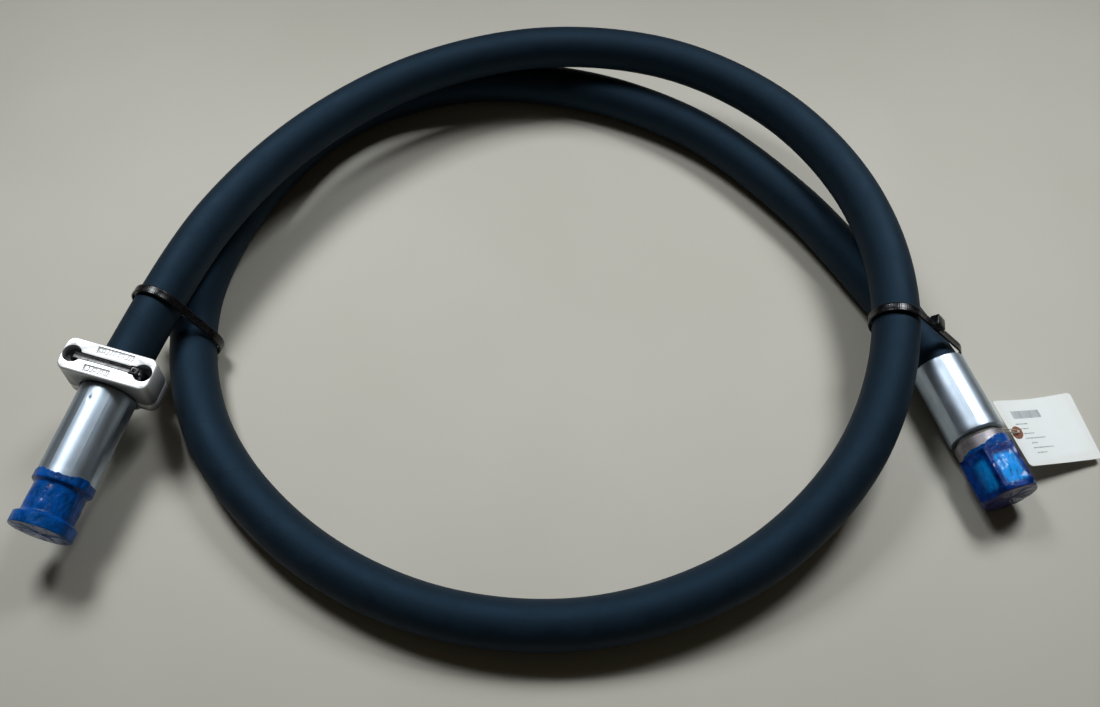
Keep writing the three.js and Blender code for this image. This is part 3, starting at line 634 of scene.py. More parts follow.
def cotton():
    m = Nodes("cotton_string", (0.62, 0.57, 0.45), 0.9)
    twist = m.node("TexWave", {"Vector": m.place(), "Scale": 0.9, "Distortion": 1.0},
                   wave_type="BANDS", bands_direction="DIAGONAL").outputs["Fac"]
    return m.finish(m.mix(twist, (0.42, 0.38, 0.29), (0.70, 0.65, 0.53)), None, twist, 0.2, 0.8)


MATERIALS = {
    "cover_rubber": cover_rubber(),
    "tube_rubber": dark_rubber("tube_rubber", (0.010, 0.011, 0.012)),
    "spring_steel": spring_steel(),
    "plated_steel": turned_steel(),
    "dull_steel": phosphated_steel(),
    "wound_wire": wound_wire(),
    "cast_aluminium": cast_aluminium(),
    "black_nylon": black_nylon(),
    "blue_film": blue_film(),
    "blue_plastic": blue_plastic(),
    "seal_rubber": dark_rubber("seal_rubber", (0.008, 0.008, 0.008)),
    "tag_card": tag_card(),
    "print_ink": print_ink(),
    "eyelet_fibre": pressed_fibre(),
    "cotton_string": cotton(),
}


def settle(piece, body, slot, *nodes, material=None):
    """Gives a finished piece its material, named by slot unless another is given, and its body, and hides the
    CAD nodes that it stands for.
    """
    piece.data.materials.clear()
    piece.data.materials.append(MATERIALS[material or slot])
    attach(piece, body)
    if nodes:
        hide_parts(*nodes)
    return piece


def repaint(node, material):
    """A CAD node that stays as it is, with a better material."""
    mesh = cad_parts[node].data
    mesh.materials.clear()
    mesh.materials.append(MATERIALS[material])


# -------------------------------------------------------------------------------------------- hose
def hose_rings(line, radius, sides):
    """Rings square to the line, carried along it without twist, with the seam starting underneath."""
    rings = []
    tangents = [(b - a).normalized() for a, b in zip([line[0], *line], [line[1], *line[1:], line[-1]])]
    tangents[-1] = (line[-1] - line[-2]).normalized()
    down = Vector((0, 0, -1))
    for point, tangent in zip(line, tangents):
        side = (down - tangent * down.dot(tangent)).normalized()
        across = tangent.cross(side)
        rings.append([point + radius * MM * (side * math.cos(a) + across * math.sin(a))
                      for a in (k * TAU / sides for k in range(sides))])
    return rings


def add_hose():
    sides = 40
    outer = hose_rings(ROUTE, HOSE_RADIUS, sides)
    inner = hose_rings(ROUTE, HOSE_RADIUS - HOSE_WALL, sides)
    skin = [*outer, *reversed(inner)]
    points = [p / MM for ring in skin for p in ring]
    faces, uvs = [], []
    pitch = ROUTE_LENGTH / MM / (len(ROUTE) - 1)
    girth = TAU * HOSE_RADIUS
    for j in range(len(skin)):
        k = (j + 1) % len(skin)
        low, high = j * pitch, (j + 1) * pitch
        for i in range(sides):
            n = (i + 1) % sides
            faces.append((j * sides + i, j * sides + n, k * sides + n, k * sides + i))
            left, right = i / sides * girth, (i + 1) / sides * girth
            uvs.append([(left, low), (right, low), (right, high), (left, high)])
    hose = make_piece("hose", points, faces, uvs=uvs, sharp=60)
    settle(hose, "hose_and_fittings", "cover_rubber", "hose_cover")
    repaint("hose_wire_spirals", "wound_wire")
    repaint("hose_inner_tube", "tube_rubber")
    return hose


# ---------------------------------------------------------------------------------------- fittings
def crimped(angle, radius, station, length):
    """Eight flats pressed by the crimping dies, with thin ridges left between them."""
    if radius < FERRULE_RADIUS - 0.4:
        return radius, station
    share = smoothstep(5, 8, station) * (1 - smoothstep(length - 9, length - 6, station))
    span = TAU / CRIMP_DIES
    offset = (angle + 0.22) % span - span / 2
    ridge = math.exp(-((abs(offset) - span / 2) / 0.035) ** 2)
    return radius - share * CRIMP_DEPTH * (1 - ridge), station


def add_ferrule(name, node, place, length, marks=()):
    wall_station = length - FERRULE_END_WALL
    shoulder = INSERT_SHOULDER + CLEARANCE
    lock = INSERT_LOCK + CLEARANCE
    lock_end = wall_station + 4.4
    outline = softened(outline_of(
        (FERRULE_BORE, 0), (FERRULE_RADIUS, 0), (FERRULE_RADIUS, length), (shoulder, length),
        (shoulder, lock_end), (lock, lock_end), (lock, wall_station), (FERRULE_BORE, wall_station)), 1.3, 4)
    outline = divided(outline, 2.5)

    def pressed(angle, radius, station):
        radius, station = crimped(angle, radius, station, length)
        for mark_angle, mark_station, size in marks:
            away = math.hypot((angle - mark_angle) * FERRULE_RADIUS / size, (station - mark_station) / size)
            if radius > FERRULE_BORE + 1:
                radius -= 0.35 * math.exp(-away ** 4)
        return radius, station

    ferrule = lathe(name, outline, place, segments=288, shape=pressed, sharp=50)
    local = place.inverted()

    def darkness(point):
        x, station, z = local @ point
        angle = math.atan2(z, x)
        hits = [math.exp(-math.hypot((angle - a) * FERRULE_RADIUS / s, (station - t) / s) ** 4)
                for a, t, s in marks]
        return min(1.0, sum(hits))

    set_point_values(ferrule, "mark", darkness)
    return settle(ferrule, "hose_and_fittings", "plated_steel", node)


def insert_tail(length, hose_end):
    """The part of an insert that both ends share: barbed tail, stop and lock groove."""
    wall_station = length - FERRULE_END_WALL
    tail = [(INSERT_BORE, 6), (INSERT_TAIL - INSERT_BARB, 6)]
    for barb in range(math.floor((hose_end - 17) / 14) + 1):
        station = 10 + 14 * barb
        tail += [(INSERT_TAIL, station), (INSERT_TAIL, station + 6), (INSERT_TAIL - INSERT_BARB, station + 7)]
    stop = hose_end + 0.6
    near_wall = wall_station - CLEARANCE
    lock_end = wall_station + 5
    return tail + [(INSERT_TAIL - INSERT_BARB, stop), (INSERT_SHOULDER, stop), (INSERT_SHOULDER, near_wall),
                   (INSERT_LOCK, near_wall), (INSERT_LOCK, lock_end), (INSERT_SHOULDER, lock_end)]


def add_flange_insert():
    floor = FLANGE_FACE - 2.8
    outline = outline_of(
        *insert_tail(FLANGE_FERRULE, (HOSE_ROUTE[0] - HOSE_ROUTE[1]).length / MM),
        (INSERT_SHOULDER, NECK_STATION), (NECK_RADIUS, NECK_STATION),
        (NECK_RADIUS, FLANGE_BACK - 1.5), (NECK_RADIUS + 1.2, FLANGE_BACK), (FLANGE_RADIUS, FLANGE_BACK),
        (FLANGE_RADIUS, FLANGE_FACE), (18.7, FLANGE_FACE), (18.7, floor), (15.3, floor), (15.3, FLANGE_FACE),
        (INSERT_BORE, FLANGE_FACE))
    piece = lathe("flange_insert", softened(outline, 0.5), FLANGE_END)
    settle(piece, "hose_and_fittings", "plated_steel", "flange_end_insert")


def wrinkled(amount, seed, around=9.0, along=0.10):
    """Moves film in and out in folds that run mostly along it."""
    def shape(angle, radius, station):
        fold = noise.fractal(Vector((math.cos(angle) * around / 3, math.sin(angle) * around / 3,
                                     station * along + seed)), 0.8, 2.1, 4)
        return radius + amount * max(-0.6, fold), station
    return shape


def torn_edge(angle, seed, depth):
    """How far a torn edge runs up at an angle: slow waves with small teeth."""
    slow = noise.noise(Vector((math.cos(angle) * 1.2, math.sin(angle) * 1.2, seed)))
    teeth = noise.noise(Vector((math.cos(angle) * 7, math.sin(angle) * 7, seed + 5)))
    return depth * (slow + 0.35 * teeth)


def add_flange_protection():
    cap = softened(outline_of(
        (0, CAP_FACE - CAP_WALL), (CAP_INNER, CAP_FACE - CAP_WALL), (CAP_INNER, CAP_SKIRT),
        (CAP_INNER + CAP_WALL, CAP_SKIRT), (CAP_INNER + CAP_WALL, CAP_FACE),
        (0, CAP_FACE)), 0.3, closed=False)
    piece = lathe("flange_cap", cap, FLANGE_END, closed=False)
    settle(piece, "flange_protection", "blue_plastic", "flange_end_cap")

    outer = FILM_OVER_CAP + FILM_WALL
    face = CAP_FACE + CLEARANCE
    film = divided(softened(outline_of(
        (0, face), (FILM_OVER_CAP, face), (FILM_OVER_CAP, FILM_CUT), (outer, FILM_CUT),
        (outer, face + FILM_WALL), (0, face + FILM_WALL)), 0.9, 4, closed=False), 1.0, closed=False)
    folds = wrinkled(0.35, 3.1)

    def shape(angle, radius, station):
        middle = max(0.0, 1 - radius / outer)
        if radius > FILM_OVER_CAP - 1:
            lift = max(0.0, folds(angle, 0, station)[0])
            return radius + lift, station
        pleats = 1.1 * noise.noise(Vector((math.cos(angle) * 4, math.sin(angle) * 4, radius * 0.12)))
        return radius, station + max(0.0, pleats + 0.1) * min(1.0, 6 * middle)

    piece = lathe("cap_film", film, FLANGE_END, closed=False, segments=220, shape=shape, sharp=70)
    set_point_values(piece, "tight_and_highlight", lambda p: 0.15)
    settle(piece, "flange_protection", "blue_film", "flange_end_film")


def add_flange_neck_film():
    over_ferrule = FERRULE_RADIUS + CLEARANCE
    over_neck = NECK_RADIUS + CLEARANCE
    rim = FILM_CUT - CLEARANCE
    start = FLANGE_FERRULE - 5
    inner = [(over_ferrule, start), (over_ferrule, FLANGE_FERRULE + 0.5), (over_neck, NECK_STATION + 2.5),
             (over_neck, rim - 2.9), (FILM_OVER_CAP, rim)]
    outer = [(r + FILM_WALL, s + 0.2) for r, s in inner]
    outline = divided(softened(outline_of(*inner, *reversed(outer)), 0.8, 3), 1.2)
    folds = wrinkled(0.55, 7.7, 8.0, 0.07)

    def shape(angle, radius, station):
        at_end = smoothstep(rim - 3, rim - 0.5, station)
        lift = max(0.0, folds(angle, 0, station)[0] + 0.1) * (1 - 0.8 * at_end)
        near_mouth = 1 - smoothstep(start, FLANGE_FERRULE - 0.5, station)
        return radius + lift, station + near_mouth * (torn_edge(angle, 2.0, 3.5) - 0.5)

    piece = lathe("neck_film", outline, FLANGE_END, segments=240, shape=shape, sharp=70)
    set_point_values(piece, "tight_and_highlight", lambda p: 0.12)
    settle(piece, "hose_and_fittings", "blue_film", "flange_neck_film")


def add_swivel_insert():
    groove = NUT_NECK - WIRE_RADIUS - CLEARANCE
    half = WIRE_RADIUS + CLEARANCE
    neck = NUT_NECK - CLEARANCE
    head = NUT_THREAD - 2
    face = NUT_SHELF + CLEARANCE + 6.5
    outline = outline_of(
        *insert_tail(SWIVEL_FERRULE, (HOSE_ROUTE[-1] - HOSE_ROUTE[-2]).length / MM),
        (INSERT_SHOULDER, NUT_START - CLEARANCE), (neck, NUT_START - CLEARANCE),
        (neck, WIRE_STATION - half), (groove, WIRE_STATION - half), (groove, WIRE_STATION + half),
        (neck, WIRE_STATION + half), (neck, NUT_SHELF + CLEARANCE), (head, NUT_SHELF + CLEARANCE),
        (head, face), (INSERT_BORE, face))
    piece = lathe("swivel_insert", softened(outline, 0.4), SWIVEL_END)
    return settle(piece, "hose_and_fittings", "plated_steel", "swivel_end_insert")


def hexagon_radius(angle, flats, round_off=0.0):
    """A hexagon's radius at an angle, with one flat straight down."""
    span = TAU / 6
    offset = (angle + math.pi / 2 + span / 2) % span - span / 2
    sharp = flats / 2 / math.cos(offset)
    corner = flats / 2 / math.cos(span / 2)
    return min(sharp, corner - round_off * smoothstep(0.75, 1.0, abs(offset) / (span / 2)))


def add_nut():
    """The radius at each angle is the smaller of the hexagon's and the chamfer cones'."""
    wire = WIRE_RADIUS + CLEARANCE
    outside = [(NUT_SHOULDER - 0.8, NUT_START), (NUT_SHOULDER, NUT_START + 0.8)]
    outside += [(NUT_SHOULDER, HEX_START - 0.6 - 0.5 * (6 - k) / 6) for k in range(7)]
    cone_start = [(NUT_SHOULDER + k * 0.56, HEX_START - 0.5 + k * 0.28) for k in range(1, 8)]
    cone_end = [(NUT_CORNER + 0.3 - k * 0.42, NUT_END - 1.6 + k * 0.27) for k in range(7)]
    inside = [(NUT_THREAD + 0.8, NUT_END), (NUT_THREAD, NUT_END - 0.8), (NUT_THREAD, NUT_SHELF),
              (NUT_NECK, NUT_SHELF), (NUT_NECK, WIRE_STATION + wire), (NUT_NECK + wire, WIRE_STATION + wire),
              (NUT_NECK + wire, WIRE_STATION - wire), (NUT_NECK, WIRE_STATION - wire), (NUT_NECK, NUT_START)]
    outline = outline_of(*outside, *cone_start, *cone_end, *inside)

    def shape(angle, radius, station):
        if radius > NUT_SHOULDER and station > HEX_START - 0.55:
            radius = min(radius, hexagon_radius(angle, NUT_FLATS, 0.25))
        return radius, station

    piece = lathe("nut", outline, SWIVEL_END, segments=180, shape=shape, sharp=28)
    set_point_values(piece, "mark", lambda p: 0.0)
    repaint("swivel_retaining_wire", "spring_steel")
    repaint("flange_end_o_ring", "seal_rubber")
    return settle(piece, "nut", "plated_steel", "swivel_nut", material="dull_steel")


def add_collar_film():
    """A torn band of film on the nut's shoulder, which reaches further back on one side."""
    inner = NUT_SHOULDER + CLEARANCE
    start = HEX_START - 6
    outline = divided(softened(outline_of(
        (inner, start), (inner + FILM_WALL, start), (inner + FILM_WALL, COLLAR_FILM_END),
        (inner, COLLAR_FILM_END)), 0.1, 2), 0.8)
    folds = wrinkled(0.5, 12.3, 8.0, 0.12)

    def shape(angle, radius, station):
        lift = max(0.0, folds(angle, 0, station)[0] + 0.08)
        back = 1 - (station - start) / (COLLAR_FILM_END - start)
        slant = -3.6 * math.cos(angle - math.radians(150))
        return radius + lift, station + back * (slant + torn_edge(angle, 4.0, 2.2))

    piece = lathe("collar_film", outline, SWIVEL_END, segments=240, shape=shape, sharp=70)
    set_point_values(piece, "tight_and_highlight", lambda p: 0.1)
    settle(piece, "nut", "blue_film", "swivel_collar_film")


def add_swivel_protection():
    body = NUT_THREAD - CLEARANCE
    bottom = PLUG_FACE - PLUG_LENGTH
    plug = softened(outline_of(
        (0, bottom), (body, bottom), (body, NUT_END + CLEARANCE), (19.5, NUT_END + CLEARANCE),
        (19.5, PLUG_FACE), (body - 2, PLUG_FACE), (body - 2, bottom + 2), (0, bottom + 2)), 0.6, closed=False)
    piece = lathe("swivel_plug", plug, SWIVEL_END, closed=False)
    settle(piece, "swivel_protection", "blue_plastic", "swivel_end_plug")

    start = HEX_START - 1
    face = PLUG_FACE + CLEARANCE
    rim = 24  # where an outline point's radius stands for the whole hexagon
    outer = 1.0 + FILM_WALL / (NUT_FLATS / 2)
    film = divided(softened(outline_of(
        (0, face), (rim, face), (rim, start), (outer * rim, start),
        (outer * rim, face + FILM_WALL), (0, face + FILM_WALL)), 1.6, 4, closed=False), 1.0, closed=False)
    folds = wrinkled(0.45, 21.0, 7.0, 0.09)

    def shape(angle, radius, station):
        hexagon = hexagon_radius(angle, NUT_FLATS + 2 * CLEARANCE, 0.0)
        share = radius / rim
        gather = smoothstep(NUT_END - 1.0, face, station)
        rounder = hexagon * (1 - gather) + min(hexagon, NUT_FLATS / 2 + 0.9) * gather
        lift = max(0.0, folds(angle, 0, station)[0] + 0.05) * smoothstep(0.35, 0.9, share)
        pleat = 0.8 * noise.noise(Vector((math.cos(angle) * 3, math.sin(angle) * 3, share * 2)))
        sink = max(-0.25, pleat) * (1 - smoothstep(0.7, 0.96, share))
        return rounder * share + lift, station + sink * (station > NUT_END + 1)

    piece = lathe("plug_film", film, SWIVEL_END, closed=False, segments=240, shape=shape, sharp=70)
    local = SWIVEL_END.inverted()

    def tight_and_highlight(point):
        """Most over the middle of each flat, fading at the corners and ends, and only on the upper flats,
        where it is a painted highlight.
        """
        x, station, z = local @ point
        offset = (math.atan2(z, x) + math.pi / 2 + TAU / 12) % (TAU / 6) - TAU / 12
        on_flat = 1 - smoothstep(0.55, 0.85, abs(offset) / (TAU / 12))
        along = (smoothstep(HEX_START + 5, HEX_START + 9, station)
                 * (1 - smoothstep(NUT_END - 5, NUT_END - 1, station)))
        upward = smoothstep(0.2, 0.8, z / 22)
        return on_flat * along * upward

    set_point_values(piece, "tight_and_highlight", tight_and_highlight)
    set_point_values(piece, "gathered", lambda p: 0.8 * smoothstep(NUT_END + 1, NUT_END + 2.6, (local @ p).y))
    settle(piece, "swivel_protection", "blue_film", "swivel_end_film")


# ------------------------------------------------------------------------------------------- clamp
def plan_loop(inset, height, arc=8):
    """The clamp's rounded plan, pulled in by an inset, at a height."""
    radius = CLAMP_CORNER - min(inset, CLAMP_CORNER - 1)
    half_x, half_y = CLAMP_LENGTH / 2 - inset - radius, CLAMP_WIDTH / 2 - inset - radius
    loop = []
    for quarter, (sx, sy) in enumerate(((1, 1), (-1, 1), (-1, -1), (1, -1))):
        for k in range(arc + 1):
            angle = (quarter + k / arc) * math.pi / 2
            loop.append((sx * half_x + radius * math.cos(angle),
                         CLAMP_MIDDLE + sy * half_y + radius * math.sin(angle), height))
    return loop


def rod(name, radius, start, end, place, sides=64):
    """A plain round bar between two points in mm, for cutting."""
    a, b = Vector(start), Vector(end)
    axis = (b - a).normalized()
    side = axis.orthogonal().normalized()
    across = axis.cross(side)
    rings = [[end_point + radius * (side * math.cos(t) + across * math.sin(t))
              for t in (k * TAU / sides for k in range(sides))] for end_point in (a, b)]
    return sweep(name, rings, place)


def slab(name, size, middle, place):
    x, y, z = (s / 2 for s in size)
    points = [Vector(middle) + Vector((i * x, j * y, k * z)) for k in (-1, 1) for i, j in
              ((-1, -1), (1, -1), (1, 1), (-1, 1))]
    return sweep(name, [points[:4], points[4:]], place)


def clamp_hollows(place):
    """What both halves share: the hose's channel, the ferrule's mouth and the bolt holes."""
    back, front = CLAMP_FRONT - CLAMP_WIDTH - 1, CLAMP_FRONT + 1
    hollows = [rod("channel", CLAMP_BORE, (0, back, 0), (0, front, 0), place, 96),
               rod("mouth", CLAMP_MOUTH, (0, CLAMP_FRONT - CLAMP_MOUTH_DEPTH, 0), (0, front, 0), place, 96)]
    for side in (-1, 1):
        hollows.append(rod("hole", BOLT_HOLE, (side * BOLT_X, CLAMP_MIDDLE, -CLAMP_TOP),
                           (side * BOLT_X, CLAMP_MIDDLE, CLAMP_TOP + 1), place, 48))
    return hollows


def add_clamp_upper_half():
    low, fillet = CLEARANCE / 2, 1.6
    loops = [plan_loop(0.2, low), plan_loop(0.0, low + 0.2), plan_loop(0.25, CLAMP_TOP - fillet)]
    for k in range(1, 6):
        angle = k / 5 * math.pi / 2
        inset = 0.25 + fillet * (1 - math.cos(angle))
        loops.append(plan_loop(inset, CLAMP_TOP - fillet * (1 - math.sin(angle))))
    half = sweep("clamp_upper", loops, CLAMP, sharp=30)
    cutters = clamp_hollows(CLAMP)
    for side in (-1, 1):
        cutters.append(rod("seat", BOLT_SEAT, (side * BOLT_X, CLAMP_MIDDLE, CLAMP_TOP - BOLT_SEAT_DEPTH),
                           (side * BOLT_X, CLAMP_MIDDLE, CLAMP_TOP + 1), CLAMP, 64))
    for length, width, depth, x, y in (
            (2 * BOLT_X, GROOVE_WIDTH, GROOVE_DEPTH, 0, 0),
            (7.8, 7.4, 5.4, TIE_HEAD_X, 0),
            (29, PLAQUE_WIDTH, PLAQUE_DEPTH, -3, -8.5),
            (20, PLAQUE_WIDTH, PLAQUE_DEPTH, 5, 8.5)):
        cutters.append(slab("recess", (length, width, 2 * depth), (x, CLAMP_MIDDLE + y, CLAMP_TOP), CLAMP))
    edge_rounded(carved(half, cutters), 0.35)
    local = CLAMP.inverted()

    def shade(point):
        """Painted shade: the seats, the groove, the plaque floors and the sides below the top face are
        darkened.
        """
        x, y, z = local @ point
        if abs(z - CLAMP_TOP + PLAQUE_DEPTH) < 0.1:
            return 0.42
        return 0.88 * (1 - smoothstep(CLAMP_TOP - 2.6, CLAMP_TOP - 1.0, z))

    set_point_values(half, "mark", shade)
    settle(half, "clamp", "cast_aluminium", "clamp_upper_half")


def add_clamp_marks():
    """Blank cast relief: rows of small dashes in both plaques and a ring at each corner."""
    draw = random.Random(4)
    pieces = []
    for start, end, y in ((-16.4, 10.4, -8.5), (-4.0, 14.0, 8.5)):
        x = start
        while x < end:
            width = draw.choice((0.8, 1.2, 1.9, 2.5))
            height = draw.choice((2.2, 3.4, 3.4))
            dash_middle = (x + width / 2, CLAMP_MIDDLE + y, CLAMP_TOP - PLAQUE_DEPTH + 0.12)
            spot = CLAMP @ Matrix.Translation(dash_middle)
            pieces.append(rounded_box("dash", (width, height, 0.5), spot, 0.12))
            x += width + 0.9
    for sx in (-1, 1):
        for sy in (-1, 1):
            ring = [(1.5 + 0.35 * math.cos(a), 0.25 * math.sin(a)) for a in (k * TAU / 10 for k in range(10))]
            spot = (CLAMP @ Matrix.Translation((sx * 31.0, CLAMP_MIDDLE + sy * 9.4, CLAMP_TOP))
                    @ Matrix.Rotation(math.pi / 2, 4, "X"))
            pieces.append(lathe("ring", outline_of(*ring), spot, segments=32))
    marks = joined("clamp_cast_marks", pieces)
    set_point_values(marks, "mark", lambda p: 0.0)
    settle(marks, "clamp", "cast_aluminium")


def add_clamp_lower_half():
    """Cut while level and then turned, with its shell ending inside the block so that no faces graze."""
    level = Matrix.Scale(MM, 4)
    high = -CLEARANCE / 2
    fillet = 1.4
    loops = [plan_loop(0.2, high), plan_loop(0.0, high - 0.2), plan_loop(0.2, -CLAMP_EAR + fillet)]
    for k in range(1, 6):
        angle = k / 5 * math.pi / 2
        inset = 0.2 + fillet * (1 - math.cos(angle))
        loops.append(plan_loop(inset, -CLAMP_EAR + fillet * (1 - math.sin(angle))))
    half = sweep("clamp_lower", loops, level, sharp=30)
    shell_radius = CLAMP_MOUTH + CLAMP_SHELL
    shell_inset, shell_top = 0.4, -4.0
    back, front = CLAMP_FRONT - CLAMP_WIDTH + shell_inset, CLAMP_FRONT - shell_inset
    profile = softened(outline_of((0, back), (shell_radius, back), (shell_radius, front), (0, front)),
                       1.2, closed=False)
    shell = lathe("shell", profile, level, closed=False, segments=128)
    above = slab("above", (80, 60, 60), (0, CLAMP_MIDDLE, 30 + shell_top), level)
    carved(half, [carved(shell, [above])], "UNION")
    edge_rounded(welded(carved(half, clamp_hollows(level))), 0.35)
    half.data.transform(CLAMP @ level.inverted())
    local = CLAMP.inverted()
    # painted shade: the lower half darkens from 2 to 4 mm below the split down all its sides
    set_point_values(half, "mark", lambda p: 0.85 * smoothstep(2.0, 4.0, -(local @ p).z))
    settle(half, "clamp", "cast_aluminium", "clamp_lower_half")


# -------------------------------------------------------------------------------------------- ties
def convex_outline(points):
    """The convex outline round a set of 2-D points, counter-clockwise."""
    ordered = sorted(points, key=lambda p: (p.x, p.y))

    def half(chain_points):
        chain = []
        for p in chain_points:
            while len(chain) > 1 and (chain[-1] - chain[-2]).cross(p - chain[-2]) <= 1e-7:
                chain.pop()
            chain.append(p)
        return chain[:-1]

    return half(ordered) + half(ordered[::-1])


def circle_points(centre, radius, count=96):
    angles = [k * TAU / count for k in range(count)]
    return [centre + radius * Vector((math.cos(a), math.sin(a))) for a in angles]


def strap(name, outline, width, thickness, place, pitch=0.45, rung=1.6, rung_depth=0.08):
    """A ribbed strap round a closed outline in the XZ plane, its outer face crowned across."""
    path = [Vector((p.x, p.y, 0)) for p in outline]
    line, length = evenly([*path, path[0]], pitch)
    line = line[:-1]
    rings = []
    half = width / 2
    for i, point in enumerate(line):
        ahead, back = line[(i + 1) % len(line)], line[i - 1]
        run = (ahead - back).normalized()
        out = Vector((run.y, -run.x, 0))
        rib = rung_depth * (0.5 - 0.5 * math.cos(TAU * i * pitch / rung))
        ring = []
        for across, lift in ((-0.90, 0), (-1, 0.12), (-1, 0.8), (-0.88, 1), (-0.6, 1), (-0.52, 1 - rib),
                             (0.52, 1 - rib), (0.6, 1), (0.88, 1), (1, 0.8), (1, 0.12), (0.90, 0)):
            spot = point + out * lift * thickness
            ring.append((spot.x, across * half, spot.y))
        rings.append(ring)
    return sweep(name, rings, place, closed=True, sharp=40)


def tie_head(name, size, place, tail):
    """The head that the strap locks in: a rounded box with a window, a pawl and the cut-off tail."""
    length, width, height = size
    box = rounded_box(name, size, place, 0.9)
    window = slab("window", (length * 0.42, width * 0.5, height * 0.5),
                  (length * 0.08, 0, height * 0.42), place)
    carved(box, [window])
    box.data.shade_smooth()
    box.data.set_sharp_from_angle(angle=math.radians(35))
    pawl = rounded_box("pawl", (length * 0.3, width * 0.42, height * 0.3),
                       place @ Matrix.Translation((length * 0.1, 0, height * 0.22))
                       @ Matrix.Rotation(0.3, 4, "Y"), 0.25)
    pieces = [box, pawl]
    if tail:
        stub = rounded_box("tail", (tail, width * 0.72, 1.4),
                           place @ Matrix.Translation((length / 2 + tail / 2 - 0.6, 0, -height * 0.05))
                           @ Matrix.Rotation(-0.12, 4, "Y"), 0.3)
        pieces.append(stub)
    return pieces


def other_pass(station, origin, normal):
    """Where the hose passes a plane a second time, near the first place but far along the route."""
    apart = 16 * HOSE_RADIUS * MM
    for i in range(len(ROUTE) - 1):
        a, b = ROUTE[i], ROUTE[i + 1]
        here = i / (len(ROUTE) - 1) * ROUTE_LENGTH
        low, high = (a - origin).dot(normal), (b - origin).dot(normal)
        if (a - origin).length < 6 * HOSE_RADIUS * MM and abs(here - station) > apart and low * high <= 0:
            return a.lerp(b, low / (low - high)), (b - a).normalized()
    raise ValueError("the tie finds no second pass of the hose")


def add_large_tie(name, node, station, head_share, head_side, tail):
    """A tie round both passes of the hose, square to the upper one."""
    index = station / ROUTE_LENGTH * (len(ROUTE) - 1)
    i = int(index)
    origin = ROUTE[i].lerp(ROUTE[i + 1], index - i)
    normal = (ROUTE[i + 1] - ROUTE[i])
    normal = Vector((normal.x, normal.y, 0)).normalized()
    up = Vector((0, 0, 1))
    side = normal.cross(up)
    place = basis(side, normal, up, origin) @ Matrix.Scale(MM, 4)
    point, tangent = other_pass(station, origin, normal)
    offset = (point - origin) / MM
    lower = Vector((offset.dot(side), offset.z))
    slope = abs(tangent.dot(side) / tangent.dot(normal))
    width, thickness = LARGE_TIE["width"], LARGE_TIE["thickness"]
    radius, snug = HOSE_RADIUS + 1.5, HOSE_RADIUS + 0.6
    stretched = radius * math.hypot(1, slope) + slope * width / 2
    aside = Vector((stretched - snug, 0))
    outline = convex_outline(circle_points(Vector((0, 0)), radius) + circle_points(lower + aside, snug)
                             + circle_points(lower - aside, snug))
    band = strap("strap", outline, width, thickness, place)
    across = Vector((-lower.y, lower.x)).normalized() * head_side
    reach = ((radius + (stretched - radius) * abs(across.x) * head_share)
             + thickness / 2 + LARGE_TIE["head"][2] / 2)
    middle = lower * head_share + across * reach
    turn = -math.atan2(lower.y, lower.x)
    spot = place @ Matrix.Translation((middle.x, 0, middle.y)) @ Matrix.Rotation(turn, 4, "Y")
    if head_side > 0:
        spot = spot @ Matrix.Rotation(math.pi, 4, "X")
    tie = joined(name, [band, *tie_head("head", LARGE_TIE["head"], spot, tail)])
    settle(tie, "hose_and_fittings", "black_nylon", node)


def add_clamp_tie():
    """Along the top groove, down both bolt holes and round under the lower half."""
    width, thickness = SMALL_TIE["width"], SMALL_TIE["thickness"]
    inner_x = BOLT_X - thickness / 2
    inner_top = CLAMP_TOP - GROOVE_DEPTH + CLEARANCE
    shell = CLAMP_MOUTH + CLAMP_SHELL + CLEARANCE
    corners = [Vector((s * inner_x, z)) for s in (-1, 1) for z in (inner_top, -CLAMP_EAR - CLEARANCE)]
    round_part = [p for p in circle_points(Vector((0, 0)), shell) if p.y < -CLAMP_EAR]
    outline = softened(convex_outline(corners + round_part), 1.2, 4)
    place = CLAMP @ Matrix.Translation((0, CLAMP_MIDDLE, 0))
    band = strap("strap", [Vector(p) for p in outline], width, thickness, place, rung=1.3, rung_depth=0.07)
    head_z = CLAMP_TOP - 0.2 - SMALL_TIE["head"][2] / 2
    head = tie_head("head", SMALL_TIE["head"], place @ Matrix.Translation((TIE_HEAD_X, 0, head_z)), 0)
    tie = joined("clamp_tie", [band, *head])
    settle(tie, "clamp", "black_nylon", "clamp_cable_tie")


# --------------------------------------------------------------------------------------------- tag
def tag_lift(x, y):
    """How far the curled card stands off its flat shape at a place on it, in mm."""
    u, v = x / TAG_LENGTH, y / TAG_WIDTH + 0.5
    corners = (1 - u) * ((1 - v) * -3.0 + v * 4.5) + u * ((1 - v) * 2.0 + v * 5.5)
    sag = -3.2 * math.sin(math.pi * u) * (0.35 + 0.65 * v)
    ripple = 0.6 * math.sin(5.2 * u + 2.0 * v) * u
    return corners + sag + ripple


def tag_outline_clip(x, y, corner=3.2):
    """Pulls a grid point near a corner onto the card's rounded outline."""
    half = TAG_WIDTH / 2
    cx = min(max(x, corner), TAG_LENGTH - corner)
    cy = min(max(y, -half + corner), half - corner)
    away = Vector((x - cx, y - cy))
    if away.length > corner:
        away = away.normalized() * corner
        return cx + away.x, cy + away.y
    return x, y


def tag_place(x, y, layer=0.0):
    """Where a place on the flat card is once it is curled: wider along its far edge, and drooping."""
    u, v = x / TAG_LENGTH, y / TAG_WIDTH + 0.5
    aside = (1 - u) * (0.3 - 6.3 * v) + u * (0.7 + 4.7 * v)
    down = (1 - u) * (0.9 - 1.7 * v) + u * (-6.3 + 0.3 * v)
    return x + aside, y + down, tag_lift(x, y) + layer


